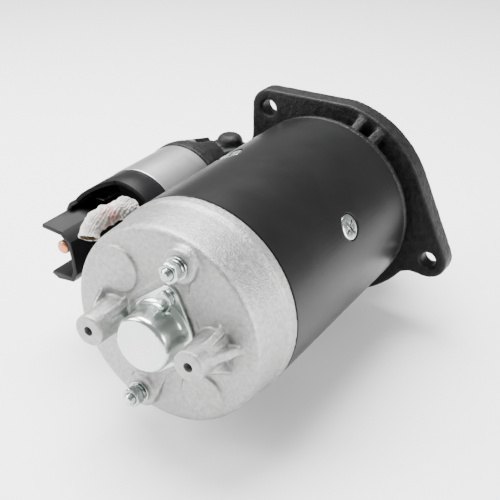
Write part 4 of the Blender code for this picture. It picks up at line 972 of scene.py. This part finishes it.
# %% The sleeve's wall and the braid
sleeve.data.materials.append(GLASS_CLOTH)
sleeve.data.materials.append(DARK_INSIDE)
apply(sleeve, "SOLIDIFY", thickness=0.8 * MM, offset=-1, material_offset=1)
smooth(sleeve, 80)
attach(sleeve, "motor")
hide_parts("field_lead_sleeve")
done(copied("field_lead_braid", "lead_braid"), COPPER, "field_lead_braid", angle=60)


# %% [markdown]
# ## Machined pieces with broken edges
#
# A machinist always takes the sharp edge off steel. The pinion, the clutch, the fork and the solenoid's screws
# get a small bevel, which catches the light through the window in the nose.

# %% Broken edges
for node, name, width, material, slot, body in (
    ("pinion", "drive_pinion", 0.35, STEEL, "steel", "pinion"),
    ("clutch_drive", "clutch_barrel", 0.5, STEEL, "steel", "drive"),
    ("shift_fork", "lever_fork", 0.4, STEEL, "steel", "fork"),
    ("solenoid_screw_1", "case_screw_1", 0.3, HARDWARE, "satin_zinc", "motor"),
    ("solenoid_screw_2", "case_screw_2", 0.3, HARDWARE, "satin_zinc", "motor"),
):
    done(rounded(copied(node, name), width, 2, 34), material, node, body)


# %% [markdown]
# ## Pieces that already have their true shape
#
# The pieces inside, and those small enough to be right as they are, keep their CAD meshes and only take a
# finish.

# %% Finishes for the CAD nodes that stay
FOUR = range(1, 5)
KEPT = {
    STEEL: ["armature_shaft", "clutch_rollers", "fork_pivot_pin", "plunger",
            "plunger_spring", "solenoid_core"] + [f"brush_spring_{n}" for n in FOUR],
    LAMINATION: ["armature_core"] + [f"pole_shoe_{n}" for n in FOUR],
    HARDWARE: ["brush_plate", "spade_terminal"],
    CAST: ["centre_bearing_plate"],
    COPPER: ["commutator", "contact_bridge"],
    WIRE: ["armature_winding", "solenoid_coil"],
    BRONZE: ["rear_bush", "nose_bush"],
    CARBON: [f"brush_{n}" for n in FOUR],
    RUBBER: ["lead_grommet"],
    TAPE: ["field_winding"],
}
for material, members in KEPT.items():
    for node in members:
        nodes[node].data.materials.clear()
        nodes[node].data.materials.append(material)
print(sum(len(members) for members in KEPT.values()), "CAD nodes keep their mesh")


# %% [markdown]
# ## Studio
#
# A pale floor, a bright even sky and a few large soft lamps, as for a catalogue picture.

# %% Floor and sky
bpy.ops.object.select_all(action="DESELECT")
bpy.ops.mesh.primitive_plane_add(size=8, location=(0, 0, -0.5 * MM))
floor = named("floor")
pale = bpy.data.materials.new("pale_floor")
pale.use_nodes = True
pale.node_tree.nodes["Principled BSDF"].inputs["Base Color"].default_value = (0.97, 0.97, 0.97, 1)
pale.node_tree.nodes["Principled BSDF"].inputs["Roughness"].default_value = 0.9
floor.data.materials.append(pale)

world = bpy.data.worlds.new("studio_sky")
bpy.context.scene.world = world
world.use_nodes = True
world.node_tree.nodes["Background"].inputs["Color"].default_value = (1, 1, 1, 1)
world.node_tree.nodes["Background"].inputs["Strength"].default_value = 0.5
print("sky:", world.name)

# %% [markdown]
# The largest lamp hangs almost straight above and lights the tops of the round pieces. A second one comes from
# the left behind the camera's shoulder for the cast face, and a weak one from the right lifts the dark side.

# %% Lamps
MIDDLE = Vector((0.0, 0.0, 0.07))


def lamp(name, place, size, watts):
    """A square soft lamp that looks at the motor's middle."""
    light = bpy.data.lights.new(name, "AREA")
    light.size = size
    light.energy = watts
    obj = bpy.data.objects.new(name, light)
    bpy.context.collection.objects.link(obj)
    obj.location = place
    obj.rotation_euler = (MIDDLE - obj.location).to_track_quat("-Z", "Y").to_euler()
    print(name, watts, "W")


lamp("top_softbox", (-0.25, 0.1, 1.0), 0.8, 46)
lamp("key_softbox", (-0.9, -0.7, 0.7), 0.6, 20)
lamp("right_softbox", (0.9, 0.1, 0.25), 0.5, 12)

# %% [markdown]
# The camera stands behind the motor, above the shaft's line and to its right, and looks down along the yoke.

# %% Camera
LOOKS_ALONG = Vector((-0.45994, 0.75321, -0.47024))
view = bpy.data.cameras.new("camera")
view.lens = 69.8
view.sensor_width = 36
view.clip_start = 0.01
camera = bpy.data.objects.new("camera", view)
bpy.context.collection.objects.link(camera)
camera.location = at(250.085, -361.114, 262.057)
camera.rotation_euler = LOOKS_ALONG.to_track_quat("-Z", "Y").to_euler()
bpy.context.scene.camera = camera
print("camera:", view.lens, "mm lens")

# %% [markdown]

# %% Finished
print("scene built")
